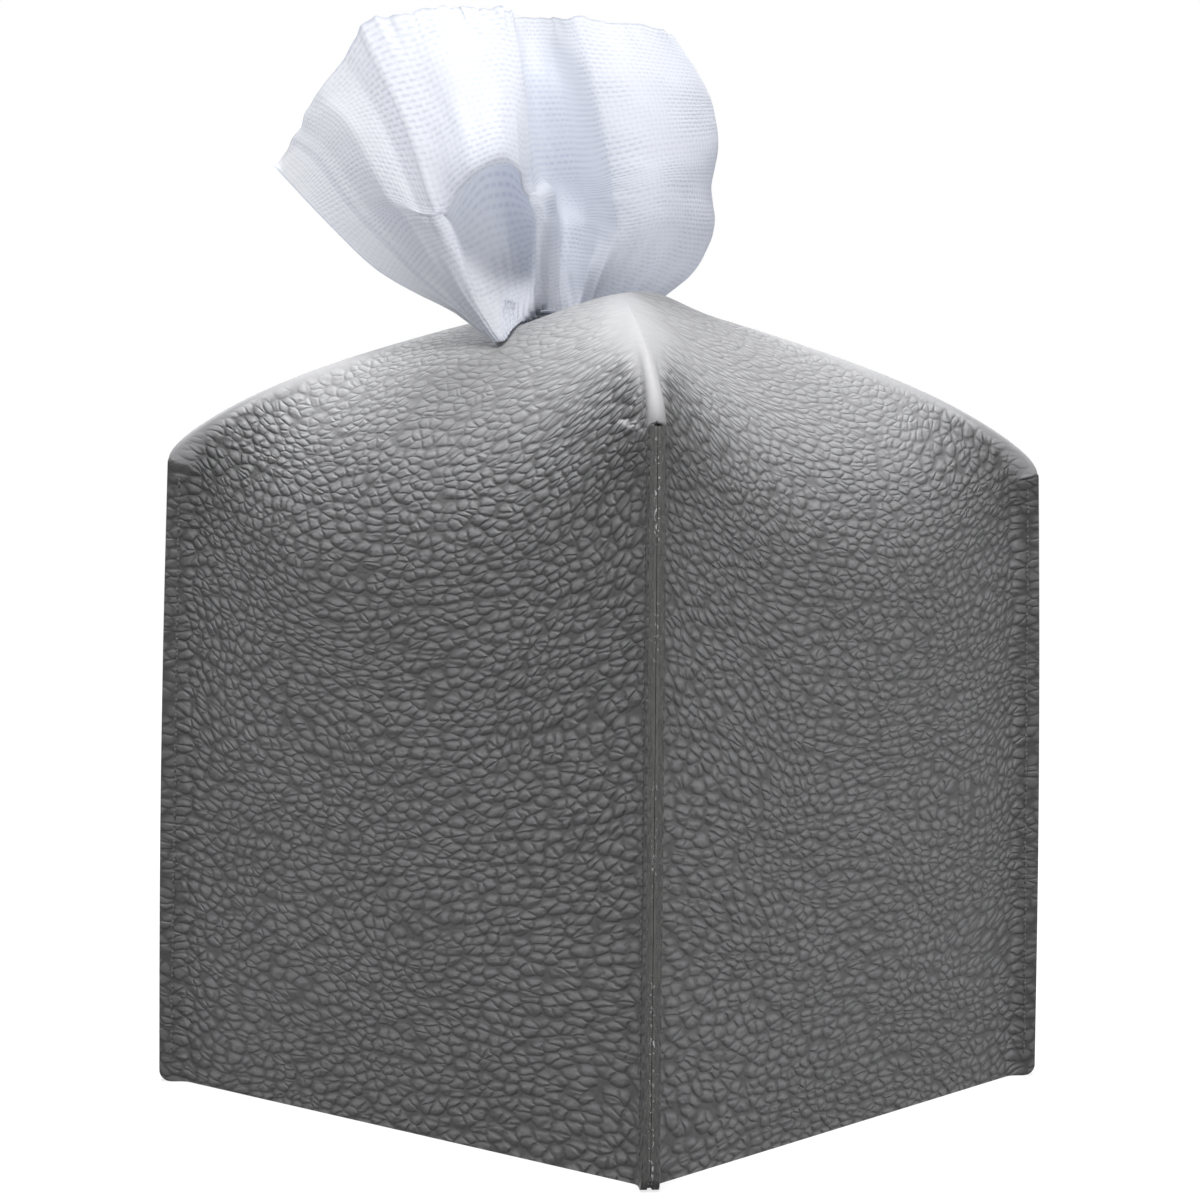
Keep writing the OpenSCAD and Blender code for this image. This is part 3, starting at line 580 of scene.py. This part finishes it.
    def unfolded(self, grain):
        """The flat pattern: for each wall, places run across along its rows and up its columns. The
        patterns of two walls part at the corners, where the hide is stretched smooth."""
        turn = np.pi / 2 * np.arange(4).reshape(4, 1, 1)
        inward = grain[..., 1] * np.cos(turn) - grain[..., 0] * np.sin(turn)
        up = grain[..., 2].copy()
        step = np.hypot(np.diff(inward, axis=1), np.diff(up, axis=1))[:, self.seam_row:]
        rise = self.shares[:, None] * SHOULDER_H
        up[:, :self.seam_row + 1] = blend(up[:, :self.seam_row + 1], rise, FLOW_RISE)
        up[:, self.seam_row + 1:] = up[:, self.seam_row:self.seam_row + 1] + np.cumsum(step, 1)
        step = np.linalg.norm(np.diff(grain, axis=2), axis=-1)
        across = np.concatenate([np.zeros_like(step[..., :1]), np.cumsum(step, 2)], 2)
        across -= across[..., self.half:self.half + 1]
        aside = PATTERN_STEP * np.arange(4).reshape(4, 1, 1)
        return np.stack([across + aside, up + PATTERN_RISE * aside], -1)

    def rippled(self, surfaces, uv, w):
        """The surfaces with a slow unevenness, which runs out at the fins, the bottom and the mouth."""
        calm = (1 - smoothstep(*RIPPLE_CALM, w))[None, None]
        rows = np.arange(self.rows + 1)
        inner = smoothstep(0, RIPPLE_FOOT_ROWS, rows)
        inner = inner * (1 - smoothstep(self.rows - RIPPLE_MOUTH_ROWS, self.rows, rows))
        uneven = soft_noise(uv[..., 0], uv[..., 1], RIPPLE_LENGTH, RIPPLE_SEED)
        push = RIPPLE * calm * inner[None, :, None] * uneven
        above = np.clip(surfaces[0][..., 2:] - RIPPLE_TURN, 0, None)
        outward = surfaces[0] * [1, 1, 0] + [0, 0, 1] * above
        outward /= np.linalg.norm(outward, axis=-1, keepdims=True)
        return [s + push[..., None] * outward for s in surfaces]

    def sheet(self, name, near, far, hem, materials):
        """A closed sheet between two depths, with its texture places."""
        surfaces = [self.points(near, hem), self.points(far, hem)]
        uv = self.unfolded(surfaces[0])
        middle = self.plain(near)[:, 0] / (HALF_W - near)
        w = np.abs(np.concatenate([-middle[:0:-1], middle]))
        surfaces = self.rippled(surfaces, uv, w)
        count = self.columns + 1
        index = np.arange(2 * 4 * (self.rows + 1) * count).reshape(2, 4, self.rows + 1, count)
        seam = self.seam_row
        for k in range(4):
            index[:, k, seam:, -1] = index[:, (k + 1) % 4, seam:, 0]
        faces, slots = [], []

        def put(quads, slot):
            faces.append(quads)
            slots.append(np.full(len(quads), slot))
        for k in range(4):
            put(grid_faces(index[0, k]), 0)
            put(grid_faces(index[1, k])[:, ::-1], 1)
            put(grid_faces(np.stack([index[1, k, 0], index[0, k, 0]])), 2)
            put(grid_faces(np.stack([index[0, k, -1], index[1, k, -1]])), 2)
            put(grid_faces(np.stack([index[0, k, :seam + 1, 0], index[1, k, :seam + 1, 0]])), 2)
            put(grid_faces(np.stack([index[1, k, :seam + 1, -1], index[0, k, :seam + 1, -1]])), 2)
        faces, slots = np.concatenate(faces), np.concatenate(slots)
        used, faces = np.unique(faces, return_inverse=True)
        faces = faces.reshape(-1, 4)
        points = np.stack(surfaces).reshape(-1, 3)[used]
        made = mesh_object(name, points, faces, materials, slots, CUT_EDGE_ANGLE)
        set_uv(made, "sheet", np.stack([uv, uv]).reshape(-1, 2)[used])
        return made, used, w


# How wide the smooth ridge is above the seam, and how much wider near the mouth, as shares of the half wall
RIDGE_WIDTH, RIDGE_SPREAD = 0.045, 0.2
# At the dome's corners this share of the painted light is lost, and this much painted shade comes in its
# place
CORNER_LIGHT_LOSS, CORNER_PAINTED_SHADE = 0.75, 0.5


def make_cover():
    cover = Cover(wall_cells=34, bend_cells=4, fin_cells=9, wall_rows=60, close_rows=5, dome_rows=44)
    flesh = cut_edge_material()
    grain, used, w = cover.sheet("leather_cover", 0.0, GRAIN_T, 0.0, [leather_material(), flesh, flesh])
    # The hide is stretched smooth on the ridge above each seam, which also gets a painted highlight, and
    # pressed on the fins
    rows = np.arange(cover.rows + 1)
    t = np.where(rows < cover.seam_row, 1, cover.t[np.clip(rows - cover.seam_row, 0, None)])
    above = rows > cover.seam_row
    width = RIDGE_WIDTH + RIDGE_SPREAD * smoothstep(1.0, 0.45, t)
    ridge = np.exp(-((1 - w[None]) / width[:, None]) ** 4) * above[:, None]
    i = np.abs(np.arange(cover.columns + 1) - cover.half) - sum(cover.cells[:2])
    fin = smoothstep(-2, 1, i)[None] * (~above)[:, None]
    # Painted light: the dome is lighter on top, and painted shade (a ramp below nought) darkens the four
    # corners of the dome
    places = np.zeros(len(used) * 3, np.float32)
    grain.data.attributes["position"].data.foreach_get("vector", places)
    x, y, z = (places[n::3] for n in range(3))
    fade = smoothstep(SHOULDER_H - 4, CROWN_H - 8, z / MM)
    corner = smoothstep(HALF_W - 4, FIN_TIP - 6, np.hypot(x, y) / MM)
    dark = CORNER_PAINTED_SHADE * corner * smoothstep(SHOULDER_H + 6, SEAM_H, z / MM)
    fade = fade * (1 - CORNER_LIGHT_LOSS * corner) - dark

    def share(field):
        return np.broadcast_to(field, (2, 4) + ridge.shape).reshape(-1)[used]
    set_share(grain, "smooth_and_highlight", share(ridge))
    set_share(grain, "press", share(fin))
    set_share(grain, "fade", fade)
    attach(grain, "cover_body")
    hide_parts("leather_shell")
    inner = Cover(wall_cells=20, bend_cells=3, fin_cells=6, wall_rows=36, close_rows=4, dome_rows=30)
    weave = backing_material()
    cloth, *_ = inner.sheet("backing_lining", GRAIN_T, LEATHER_T, CLOTH_HEM, [weave, weave, fibre_material()])
    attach(cloth, "cover_body")
    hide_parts("backing_cloth")


# ---- Stitches ----
THREAD_D, STITCH_PITCH, STITCH_INSET, STITCH_END = 0.5, 3.2, 2.4, 4
# A stitch dips into the leather at its ends, lies on it between them, and strays a little from its line
STITCH_START, STITCH_SHARE, STITCH_DIP, STITCH_LIFT = 0.04, 0.92, 0.22, 0.3
STITCH_STRAY, STITCH_FLAT = 0.08, 0.8
# The corners at which the fins stand, counted from the front right one
FINS = {"front_left": 3, "front_right": 0, "back_right": 1, "back_left": 2}


def make_stitches():
    material = thread_material()
    steps, sides = 10, 8
    count = int((SEAM_H - 2 * STITCH_END) / STITCH_PITCH)
    s = np.linspace(0, 1, steps + 1)
    ring = 2 * np.pi * np.arange(sides) / sides
    lift = np.sin(np.pi * s) ** 0.45
    for name, k in FINS.items():
        points, faces = [], []
        turn = math.radians(90 * k - 45)
        for face in (-1, 1):
            for i in range(count):
                z = STITCH_END + THREAD_D / 2 + (i + STITCH_START + STITCH_SHARE * s) * STITCH_PITCH
                aside = FIN_HALF - STITCH_DIP + STITCH_LIFT * lift
                along = FIN_TIP - STITCH_INSET + STITCH_STRAY * math.sin(2.4 * i + face)
                r = THREAD_D / 2 * (0.55 + 0.45 * lift)
                a = along + r[:, None] * np.cos(ring)
                b = face * (aside[:, None] + STITCH_FLAT * r[:, None] * np.sin(ring))
                zz = z[:, None] + 0 * a
                local = np.stack([a * math.cos(turn) - b * math.sin(turn),
                                  a * math.sin(turn) + b * math.cos(turn), zz], -1)
                start = len(points) * (steps + 1) * sides
                index = start + np.arange((steps + 1) * sides).reshape(steps + 1, sides)
                quads = grid_faces(np.concatenate([index, index[:, :1]], 1))
                faces.extend(map(list, quads if face > 0 else quads[:, ::-1]))
                faces.append(list(index[0][::face]))
                faces.append(list(index[-1][::-face]))
                points.append(local.reshape(-1, 3))
        made = mesh_object("stitches_" + name, np.concatenate(points), faces, [material])
        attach(made, "cover_body")
        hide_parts("seam_thread_" + name)


# ---- Carton, film and stack ----
# The pile's faces are cut down to this edge length, in metres, and then it sags and its layers sway, in mm
PILE_EDGE, PILE_SAG, PILE_SWAY_X, PILE_SWAY_Y, PILE_ANGLE = 0.007, 0.7, 0.35, 0.3, 40


def make_carton():
    for node, material in (("carton", board_material()), ("carton_film", film_material())):
        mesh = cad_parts[node].data
        mesh.materials.clear()
        mesh.materials.append(material)
    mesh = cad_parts["tissue_stack"].data.copy()
    mesh.name = "tissue_pile"
    work = bmesh.new()
    work.from_mesh(mesh)
    for _ in range(5):
        long = [e for e in work.edges if e.calc_length() > PILE_EDGE]
        if not long:
            break
        bmesh.ops.subdivide_edges(work, edges=long, cuts=1, use_grid_fill=True)
    bmesh.ops.triangulate(work, faces=[f for f in work.faces if len(f.verts) > 4])
    places = np.array([v.co for v in work.verts]) / MM
    share = (places[:, 2] / places[:, 2].max()) ** 2
    wave = soft_noise(places[:, 0], places[:, 1], 45, 11)
    places[:, 2] -= PILE_SAG * share * (1 + wave) / 2
    places[:, 0] += PILE_SWAY_X * soft_noise(places[:, 2] * 9, places[:, 1] * 0.4, 40, 12)
    places[:, 1] += PILE_SWAY_Y * soft_noise(places[:, 2] * 9, places[:, 0] * 0.4, 40, 13)
    for v, p in zip(work.verts, places):
        v.co = Vector(p * MM)
    work.to_mesh(mesh)
    work.free()
    mesh.shade_smooth()
    mesh.set_sharp_from_angle(angle=math.radians(PILE_ANGLE))
    mesh.materials.clear()
    mesh.materials.append(paper("stacked_paper", None))
    pile = bpy.data.objects.new("tissue_pile", mesh)
    bpy.context.scene.collection.objects.link(pile)
    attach(pile, "carton_body")
    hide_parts("tissue_stack")


# ---- The pulled tissue ----
TISSUE_W, TISSUE_DEPTH, TISSUE_RISE = 92, 40, 64
TAIL_DROP, TAIL_W, TAIL_THICK, NECK_LEAN, TISSUE_TURN = 17, 24, 4, 11, -49.7
NECK_SHARE, LEFT_CORNER, SET_BACK = 0.9, 0.76, 0.25
TISSUE_FLAT = (200, 180)
# The fold lines of the spread part, from its left end along the front to the right end and then back behind
# it, each from the mouth up to the free edge, as shares of the tissue's width, depth and rise
FOLD_LINES = np.array([
    [[0.53, 0.62, -0.02], [0.52, 0.95, -0.175], [0.43, 0.82, -0.07], [0.33, 0.72, 0.02],
     [0.25, 0.68, 0.11], [0.14, 0.55, 0.27], [0.07, 0.45, 0.38], [0.02, 0.35, 0.46]],
    [[0.53, 0.66, -0.02], [0.52, 0.96, -0.175], [0.45, 0.88, -0.05], [0.38, 0.85, 0.09],
     [0.32, 0.82, 0.22], [0.27, 0.75, 0.31], [0.18, 0.53, 0.53], [0.10, 0.30, 0.64]],
    [[0.54, 0.66, -0.02], [0.53, 0.97, -0.175], [0.47, 0.93, -0.04], [0.43, 0.90, 0.11],
     [0.40, 0.88, 0.21], [0.39, 0.85, 0.24], [0.31, 0.55, 0.56], [0.20, 0.23, 0.88]],
    [[0.55, 0.62, -0.02], [0.54, 0.96, -0.17], [0.49, 0.75, -0.02], [0.45, 0.57, 0.16],
     [0.42, 0.38, 0.35], [0.44, 0.90, 0.29], [0.38, 0.57, 0.60], [0.29, 0.20, 0.94]],
    [[0.56, 0.58, -0.02], [0.55, 0.92, -0.14], [0.52, 0.53, 0.03], [0.49, 0.30, 0.23],
     [0.46, 0.15, 0.50], [0.48, 0.90, 0.34], [0.43, 0.57, 0.64], [0.35, 0.15, 0.97]],
    [[0.58, 0.50, -0.02], [0.56, 0.82, -0.11], [0.55, 0.40, 0.07], [0.53, 0.17, 0.26],
     [0.52, 0.07, 0.53], [0.53, 0.82, 0.38], [0.49, 0.53, 0.66], [0.41, 0.12, 0.98]],
    [[0.60, 0.40, -0.05], [0.58, 0.62, -0.06], [0.58, 0.40, 0.09], [0.57, 0.30, 0.26],
     [0.56, 0.30, 0.42], [0.56, 0.72, 0.37], [0.53, 0.45, 0.68], [0.47, 0.10, 0.98]],
    [[0.61, 0.33, -0.05], [0.60, 0.45, -0.01], [0.60, 0.53, 0.10], [0.60, 0.57, 0.22],
     [0.58, 0.60, 0.30], [0.57, 0.62, 0.35], [0.56, 0.38, 0.68], [0.52, 0.07, 0.98]],
    [[0.64, 0.22, -0.04], [0.63, 0.28, 0.03], [0.63, 0.30, 0.14], [0.63, 0.33, 0.25],
     [0.62, 0.33, 0.35], [0.61, 0.30, 0.42], [0.59, 0.20, 0.72], [0.56, 0.03, 0.97]],
    [[0.67, 0.08, -0.04], [0.67, 0.05, 0.06], [0.68, 0, 0.18], [0.69, -0.03, 0.31],
     [0.68, -0.05, 0.42], [0.67, -0.07, 0.51], [0.64, -0.10, 0.77], [0.61, -0.07, 0.98]],
    [[0.70, 0.12, -0.03], [0.72, 0.20, 0.03], [0.75, 0.33, 0.13], [0.77, 0.42, 0.22],
     [0.76, 0.45, 0.33], [0.75, 0.42, 0.44], [0.71, 0.28, 0.70], [0.66, 0.07, 0.95]],
    [[0.75, 0.08, -0.02], [0.76, 0.15, 0.03], [0.83, 0.35, 0.13], [0.87, 0.45, 0.24],
     [0.87, 0.47, 0.36], [0.86, 0.42, 0.48], [0.83, 0.28, 0.71], [0.78, 0.07, 0.94]],
    [[0.80, -0.05, -0.01], [0.85, -0.05, 0.05], [0.94, 0.03, 0.15], [0.98, 0.07, 0.28],
     [0.97, 0.07, 0.41], [0.99, 0.05, 0.56], [0.96, 0.03, 0.74], [0.89, 0, 0.91]],
    [[0.78, -0.14, -0.01], [0.83, -0.20, 0.07], [0.90, -0.28, 0.20], [0.95, -0.33, 0.34],
     [0.95, -0.35, 0.48], [0.95, -0.33, 0.63], [0.93, -0.30, 0.79], [0.86, -0.23, 0.91]],
    [[0.72, -0.17, -0.01], [0.74, -0.23, 0.06], [0.74, -0.35, 0.23], [0.73, -0.42, 0.38],
     [0.73, -0.45, 0.52], [0.72, -0.40, 0.67], [0.71, -0.35, 0.81], [0.69, -0.30, 0.93]],
    [[0.66, -0.14, -0.02], [0.65, -0.17, 0.06], [0.61, -0.23, 0.21], [0.56, -0.28, 0.36],
     [0.51, -0.30, 0.50], [0.48, -0.28, 0.64], [0.45, -0.23, 0.79], [0.42, -0.17, 0.94]],
    [[0.61, -0.04, -0.02], [0.60, -0.07, 0.04], [0.52, -0.10, 0.17], [0.43, -0.10, 0.31],
     [0.36, -0.07, 0.46], [0.32, -0.03, 0.60], [0.29, 0, 0.74], [0.27, 0, 0.85]]])
# The same lines in the tail, as shares of its width and thickness
TAIL = np.array([
    [-1.0, 0.1], [-0.87, 0.8], [-0.72, 0.35], [-0.56, 0.95], [-0.4, 0.4], [-0.24, 0.95],
    [-0.08, 0.4], [0.08, 0.95], [0.25, 0.4], [0.42, 0.9], [0.6, 0.4], [0.8, 0.85],
    [1.0, 0], [0.7, -0.8], [0.25, -0.45], [-0.2, -0.9], [-0.6, -0.5]])
# How far the folds that the lines don't hold stand out, in mm
TUCK_REACH, TUCK_FORWARD, TUCK_ASIDE, PANEL_BACK, PANEL_ASIDE = 2.2, 0.9, 0.5, 8.5, 1.6
VALLEY_SHIFT, RIDGE_SHIFT, HOLLOW_DEEP, LIP_SHARE = -3.2, -4.4, 9.0, 0.2
PLEATS_PER_LINE, PLEAT_DEEP, PLEAT_SPREAD, RAGGED = 2.2, 1.3, 0.5, 0.55
# Mesh steps between two fold lines, rows along them, and the share of the rows where the girth is measured
LINE_STEPS, TISSUE_ROWS, GIRTH_ROW = 18, 170, 0.8
# Sharp folds: which line, from which place along it to which, how far it stands out and how wide it is
CREASES = ((2.0, 4.6, 11.0, 1.1, 0.3), (7.3, 3.4, 8.0, 1.0, 0.25), (8.2, 4.0, 8.6, 0.8, 0.25),
           (9.3, 3.2, 8.8, -1.8, 0.35), (10.1, 3.2, 11.0, 1.1, 0.25), (0.7, 6.0, 11.0, -0.6, 0.2),
           (1.15, 5.2, 11.0, 0.7, 0.2), (1.6, 5.8, 11.0, -0.7, 0.2), (11.4, 3.2, 6.5, -0.8, 0.3),
           (12.6, 3.4, 11.0, 1.1, 0.3), (13.2, 3.2, 11.0, -1.9, 0.4), (13.9, 3.2, 8.5, 2.2, 0.35),
           (14.6, 3.2, 11.0, -1.9, 0.35), (15.3, 3.6, 11.0, 1.7, 0.3))
# Level directions towards the camera and to its right
TO_VIEWER = np.array([-0.763, -0.647, 0])
TO_RIGHT = np.array([0.647, -0.763, 0])


def faced(p, d, turn):
    """Places along and in front of a direction, as seen from above."""
    c, s = math.cos(math.radians(turn)), math.sin(math.radians(turn))
    return np.stack([p * c + d * s, p * s - d * c], -1)


def curve(stations, at):
    """A smooth curve through the stations along the first axis, at the places named."""
    n = len(stations)
    i = np.clip(np.floor(at).astype(int), 0, n - 2)
    t = (at - i).reshape((-1,) + (1,) * (stations.ndim - 1))
    a, b, c, d = (stations[np.clip(i + o, 0, n - 1)] for o in (-1, 0, 1, 2))
    return (2 * b + (c - a) * t + (2 * a - 5 * b + 4 * c - d) * t ** 2 + (3 * b - a - 3 * c + d) * t ** 3) / 2


def tissue_stations(carton_h):
    """Each line's places: two in the tail, one in the neck and eight in the spread part."""
    spread = faced((FOLD_LINES[..., 0] - LEFT_CORNER) * TISSUE_W, FOLD_LINES[..., 1] * TISSUE_DEPTH,
                   TISSUE_TURN)
    spread = np.concatenate([spread, CROWN_H + FOLD_LINES[..., 2:] * TISSUE_RISE], -1)

    def tail(share, z, turn, lean):
        p = faced(share[:, 0] * TAIL_W / 2, (share[:, 1] / 2 - SET_BACK) * TAIL_THICK, turn)
        return np.column_stack([p[:, 0] - lean, p[:, 1], np.full(len(p), z)])[:, None]
    return np.concatenate([
        tail(TAIL, carton_h - TAIL_DROP, 0, 0), tail(TAIL, carton_h, 0, 0),
        tail(TAIL * NECK_SHARE, CROWN_H - LEATHER_T - TAIL_THICK, TISSUE_TURN, NECK_LEAN), spread], 1)


def grid_normals(grid):
    n = np.cross(np.gradient(grid, axis=1), np.gradient(grid, axis=0))
    return n / np.maximum(np.linalg.norm(n, axis=-1, keepdims=True), 1e-9)


def make_tissue():
    stations = tissue_stations(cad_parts["carton"].dimensions.z / MM)
    lines, places = stations.shape[:2]
    # U is the number of the fold line, and V the place along it: 0 the end of the tail, 2 the neck, 3 the
    # rim of the mouth and 10 the free edge
    u = np.linspace(0, lines - 1, (lines - 1) * LINE_STEPS + 1)
    v = np.linspace(0, places - 1, TISSUE_ROWS)
    U, V = np.meshgrid(u, v)
    across = curve(stations, u).transpose(1, 0, 2)
    grid = curve(across, v)
    # The corner that hangs over the rim is creased, not rounded
    i = np.clip(np.floor(v).astype(int), 0, places - 2)
    straight = blend(across[i], across[i + 1], (v - i)[:, None, None])
    crease = (1 - smoothstep(4.2, 6.0, U)) * smoothstep(2.4, 3.2, V) * (1 - smoothstep(4.8, 5.6, V))
    grid = blend(grid, straight, crease[..., None])
    # The left panel leans back behind its fold, and a small tuck lifts the left side of the right lobe
    back = PANEL_BACK * (1 - smoothstep(0.0, 2.2, U)) * smoothstep(4.6, 7.5, V)
    tuck = smoothstep(9.5, 9.8, U) * (1 - smoothstep(9.85, 10.8, U))
    tuck = tuck * smoothstep(2.9, 3.6, V) * (1 - smoothstep(4.4, 6.4, V))
    # The valley and the ridge on its left lie further left than their fold lines
    valley = VALLEY_SHIFT * np.exp(-((U - 9) / 0.6) ** 2) * smoothstep(3.6, 5.0, V)
    valley = valley * (1 - 0.6 * smoothstep(8.5, 10, V))
    valley = valley + RIDGE_SHIFT * np.exp(-((U - 8.35) / 0.7) ** 2) * smoothstep(6.8, 9.0, V)
    # The valley is hollow below the top edge of the sheet, which stands forward over it
    lip = LIP_SHARE * np.exp(-((V - 9.4) / 0.4) ** 2)
    hollow = smoothstep(5.9, 7.3, V) * (1 - smoothstep(7.5, 9.3, V)) - lip
    hollow = HOLLOW_DEEP * hollow * np.exp(-((U - 9.15) / 0.65) ** 2)
    grid = grid + (TUCK_REACH * tuck * TUCK_FORWARD - back - hollow)[..., None] * TO_VIEWER
    aside = valley - TUCK_REACH * tuck * TUCK_ASIDE - back * PANEL_ASIDE / PANEL_BACK
    grid = grid + aside[..., None] * TO_RIGHT
    normal = grid_normals(grid)
    for line, start, end, out, wide in CREASES:
        fold = np.exp(-np.abs(U - line) / wide) * smoothstep(start, start + 1, V)
        fold = fold * (1 - smoothstep(end, end + 1, V))
        grid = grid + out * fold[..., None] * normal
    normal = grid_normals(grid)
    # Fine pleats gather the sheet in the tail and the neck, and run out into the spread part
    jitter = soft_noise(U * 8, V * 2, 24, 21)
    phase = 2 * np.pi * (U * PLEATS_PER_LINE + 0.35 * jitter)
    spread = smoothstep(2.2, 3.4, V)
    deep = PLEAT_DEEP * (1 - spread) + PLEAT_SPREAD * spread * (1 - smoothstep(4.0, 6.5, V))
    over_rim = (1 - smoothstep(5.5, 7.0, U)) * smoothstep(2.6, 3.4, V) * (1 - smoothstep(4.6, 5.6, V))
    wave = np.sin(phase + 0.4 * np.sin(2 * phase))
    push = deep * (1 - 0.7 * over_rim) * wave
    crinkle = soft_noise(U * 9, V * 5, 14, 22) * 0.22 + soft_noise(U * 9, V * 12, 7, 23) * 0.08
    push = push + crinkle * smoothstep(3.2, 5.5, V) * (1 - 0.8 * over_rim)
    grid = grid + push[..., None] * normal
    # The free edges are a little ragged
    last = smoothstep(places - 1.6, places - 1, V)[..., None]
    ragged = [soft_noise(U * 9, V * 0, 9, seed) + 0.6 * soft_noise(U * 9, V * 0, 3.5, seed + 3)
              for seed in (31, 32, 33)]
    grid = grid + last * RAGGED * np.stack(ragged, -1)
    index = np.arange(grid.shape[0] * grid.shape[1]).reshape(grid.shape[:2])
    made = mesh_object("pulled_tissue", grid.reshape(-1, 3), grid_faces(index),
                       [paper("tissue_paper", "sheet", hem=True)])
    # Its texture places: across by the girth of one row, and along by the mean path
    width, length = TISSUE_FLAT
    path = np.cumsum(np.concatenate([[0], np.linalg.norm(np.diff(grid, axis=0), axis=-1).mean(1)]))
    row = grid[int(len(v) * GIRTH_ROW)]
    girth = np.concatenate([[0], np.cumsum(np.linalg.norm(np.diff(row, axis=0), axis=-1))])
    uv = np.stack(np.broadcast_arrays(girth[None] * width / girth[-1], path[:, None] * length / path[-1]), -1)
    set_uv(made, "sheet", uv.reshape(-1, 2))
    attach(made, "tissue_body")
    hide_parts("popup_tissue")


# ---- Floor and lights ----
FLOOR_HALF, FLOOR_DROP = 4000.0, -0.02
# How bright the room is to the object a little below the horizon and overhead
ROOM_LOW, ROOM_HIGH, ROOM_START = 0.06, 0.3, -0.1
# Each light's place, aim, width and power
LIGHTS = {"top_softbox": ((120, 215, 820), (0, 0, 140), 420, 6.1),
          "side_softbox": ((300, -660, 300), (0, 0, 140), 300, 0.6),
          "front_softbox": ((-335, -285, 860), (0, 0, 80), 360, 7.3)}


def make_stage():
    corners = [(x * FLOOR_HALF, y * FLOOR_HALF, FLOOR_DROP) for x, y in ((-1, -1), (1, -1), (1, 1), (-1, 1))]
    floor = mesh_object("floor", corners, [(0, 1, 2, 3)], [floor_material()])


def make_light(name, place, aim, size, power):
    data = bpy.data.lights.new(name, "AREA")
    data.size, data.energy = size * MM, power
    made = bpy.data.objects.new(name, data)
    bpy.context.scene.collection.objects.link(made)
    made.location = Vector(place) * MM
    made.rotation_euler = (Vector(aim) - Vector(place)).to_track_quat("-Z", "Y").to_euler()


def make_world():
    world = bpy.data.worlds.new("studio")
    world.use_nodes = True
    tree = world.node_tree
    back = tree.nodes["Background"]
    back.inputs["Color"].default_value = (1, 1, 1, 1)
    # What lights the object is dim at the horizon and brighter overhead
    place = tree.nodes.new("ShaderNodeTexCoord")
    split = tree.nodes.new("ShaderNodeSeparateXYZ")
    room = tree.nodes.new("ShaderNodeMapRange")
    room.inputs["From Min"].default_value = ROOM_START
    room.inputs["To Min"].default_value = ROOM_LOW
    room.inputs["To Max"].default_value = ROOM_HIGH
    tree.links.new(place.outputs["Generated"], split.inputs[0])
    tree.links.new(split.outputs["Z"], room.inputs["Value"])
    strength = tree.nodes.new("ShaderNodeMix")
    tree.links.new(background_rays(tree), strength.inputs[0])
    tree.links.new(room.outputs[0], strength.inputs[2])
    strength.inputs[3].default_value = 1.0
    tree.links.new(strength.outputs[0], back.inputs["Strength"])
    bpy.context.scene.world = world
    bpy.context.scene.view_settings.view_transform = "Standard"


make_cover()
make_stitches()
make_carton()
make_tissue()
make_stage()
make_world()
for light, values in LIGHTS.items():
    make_light(light, *values)
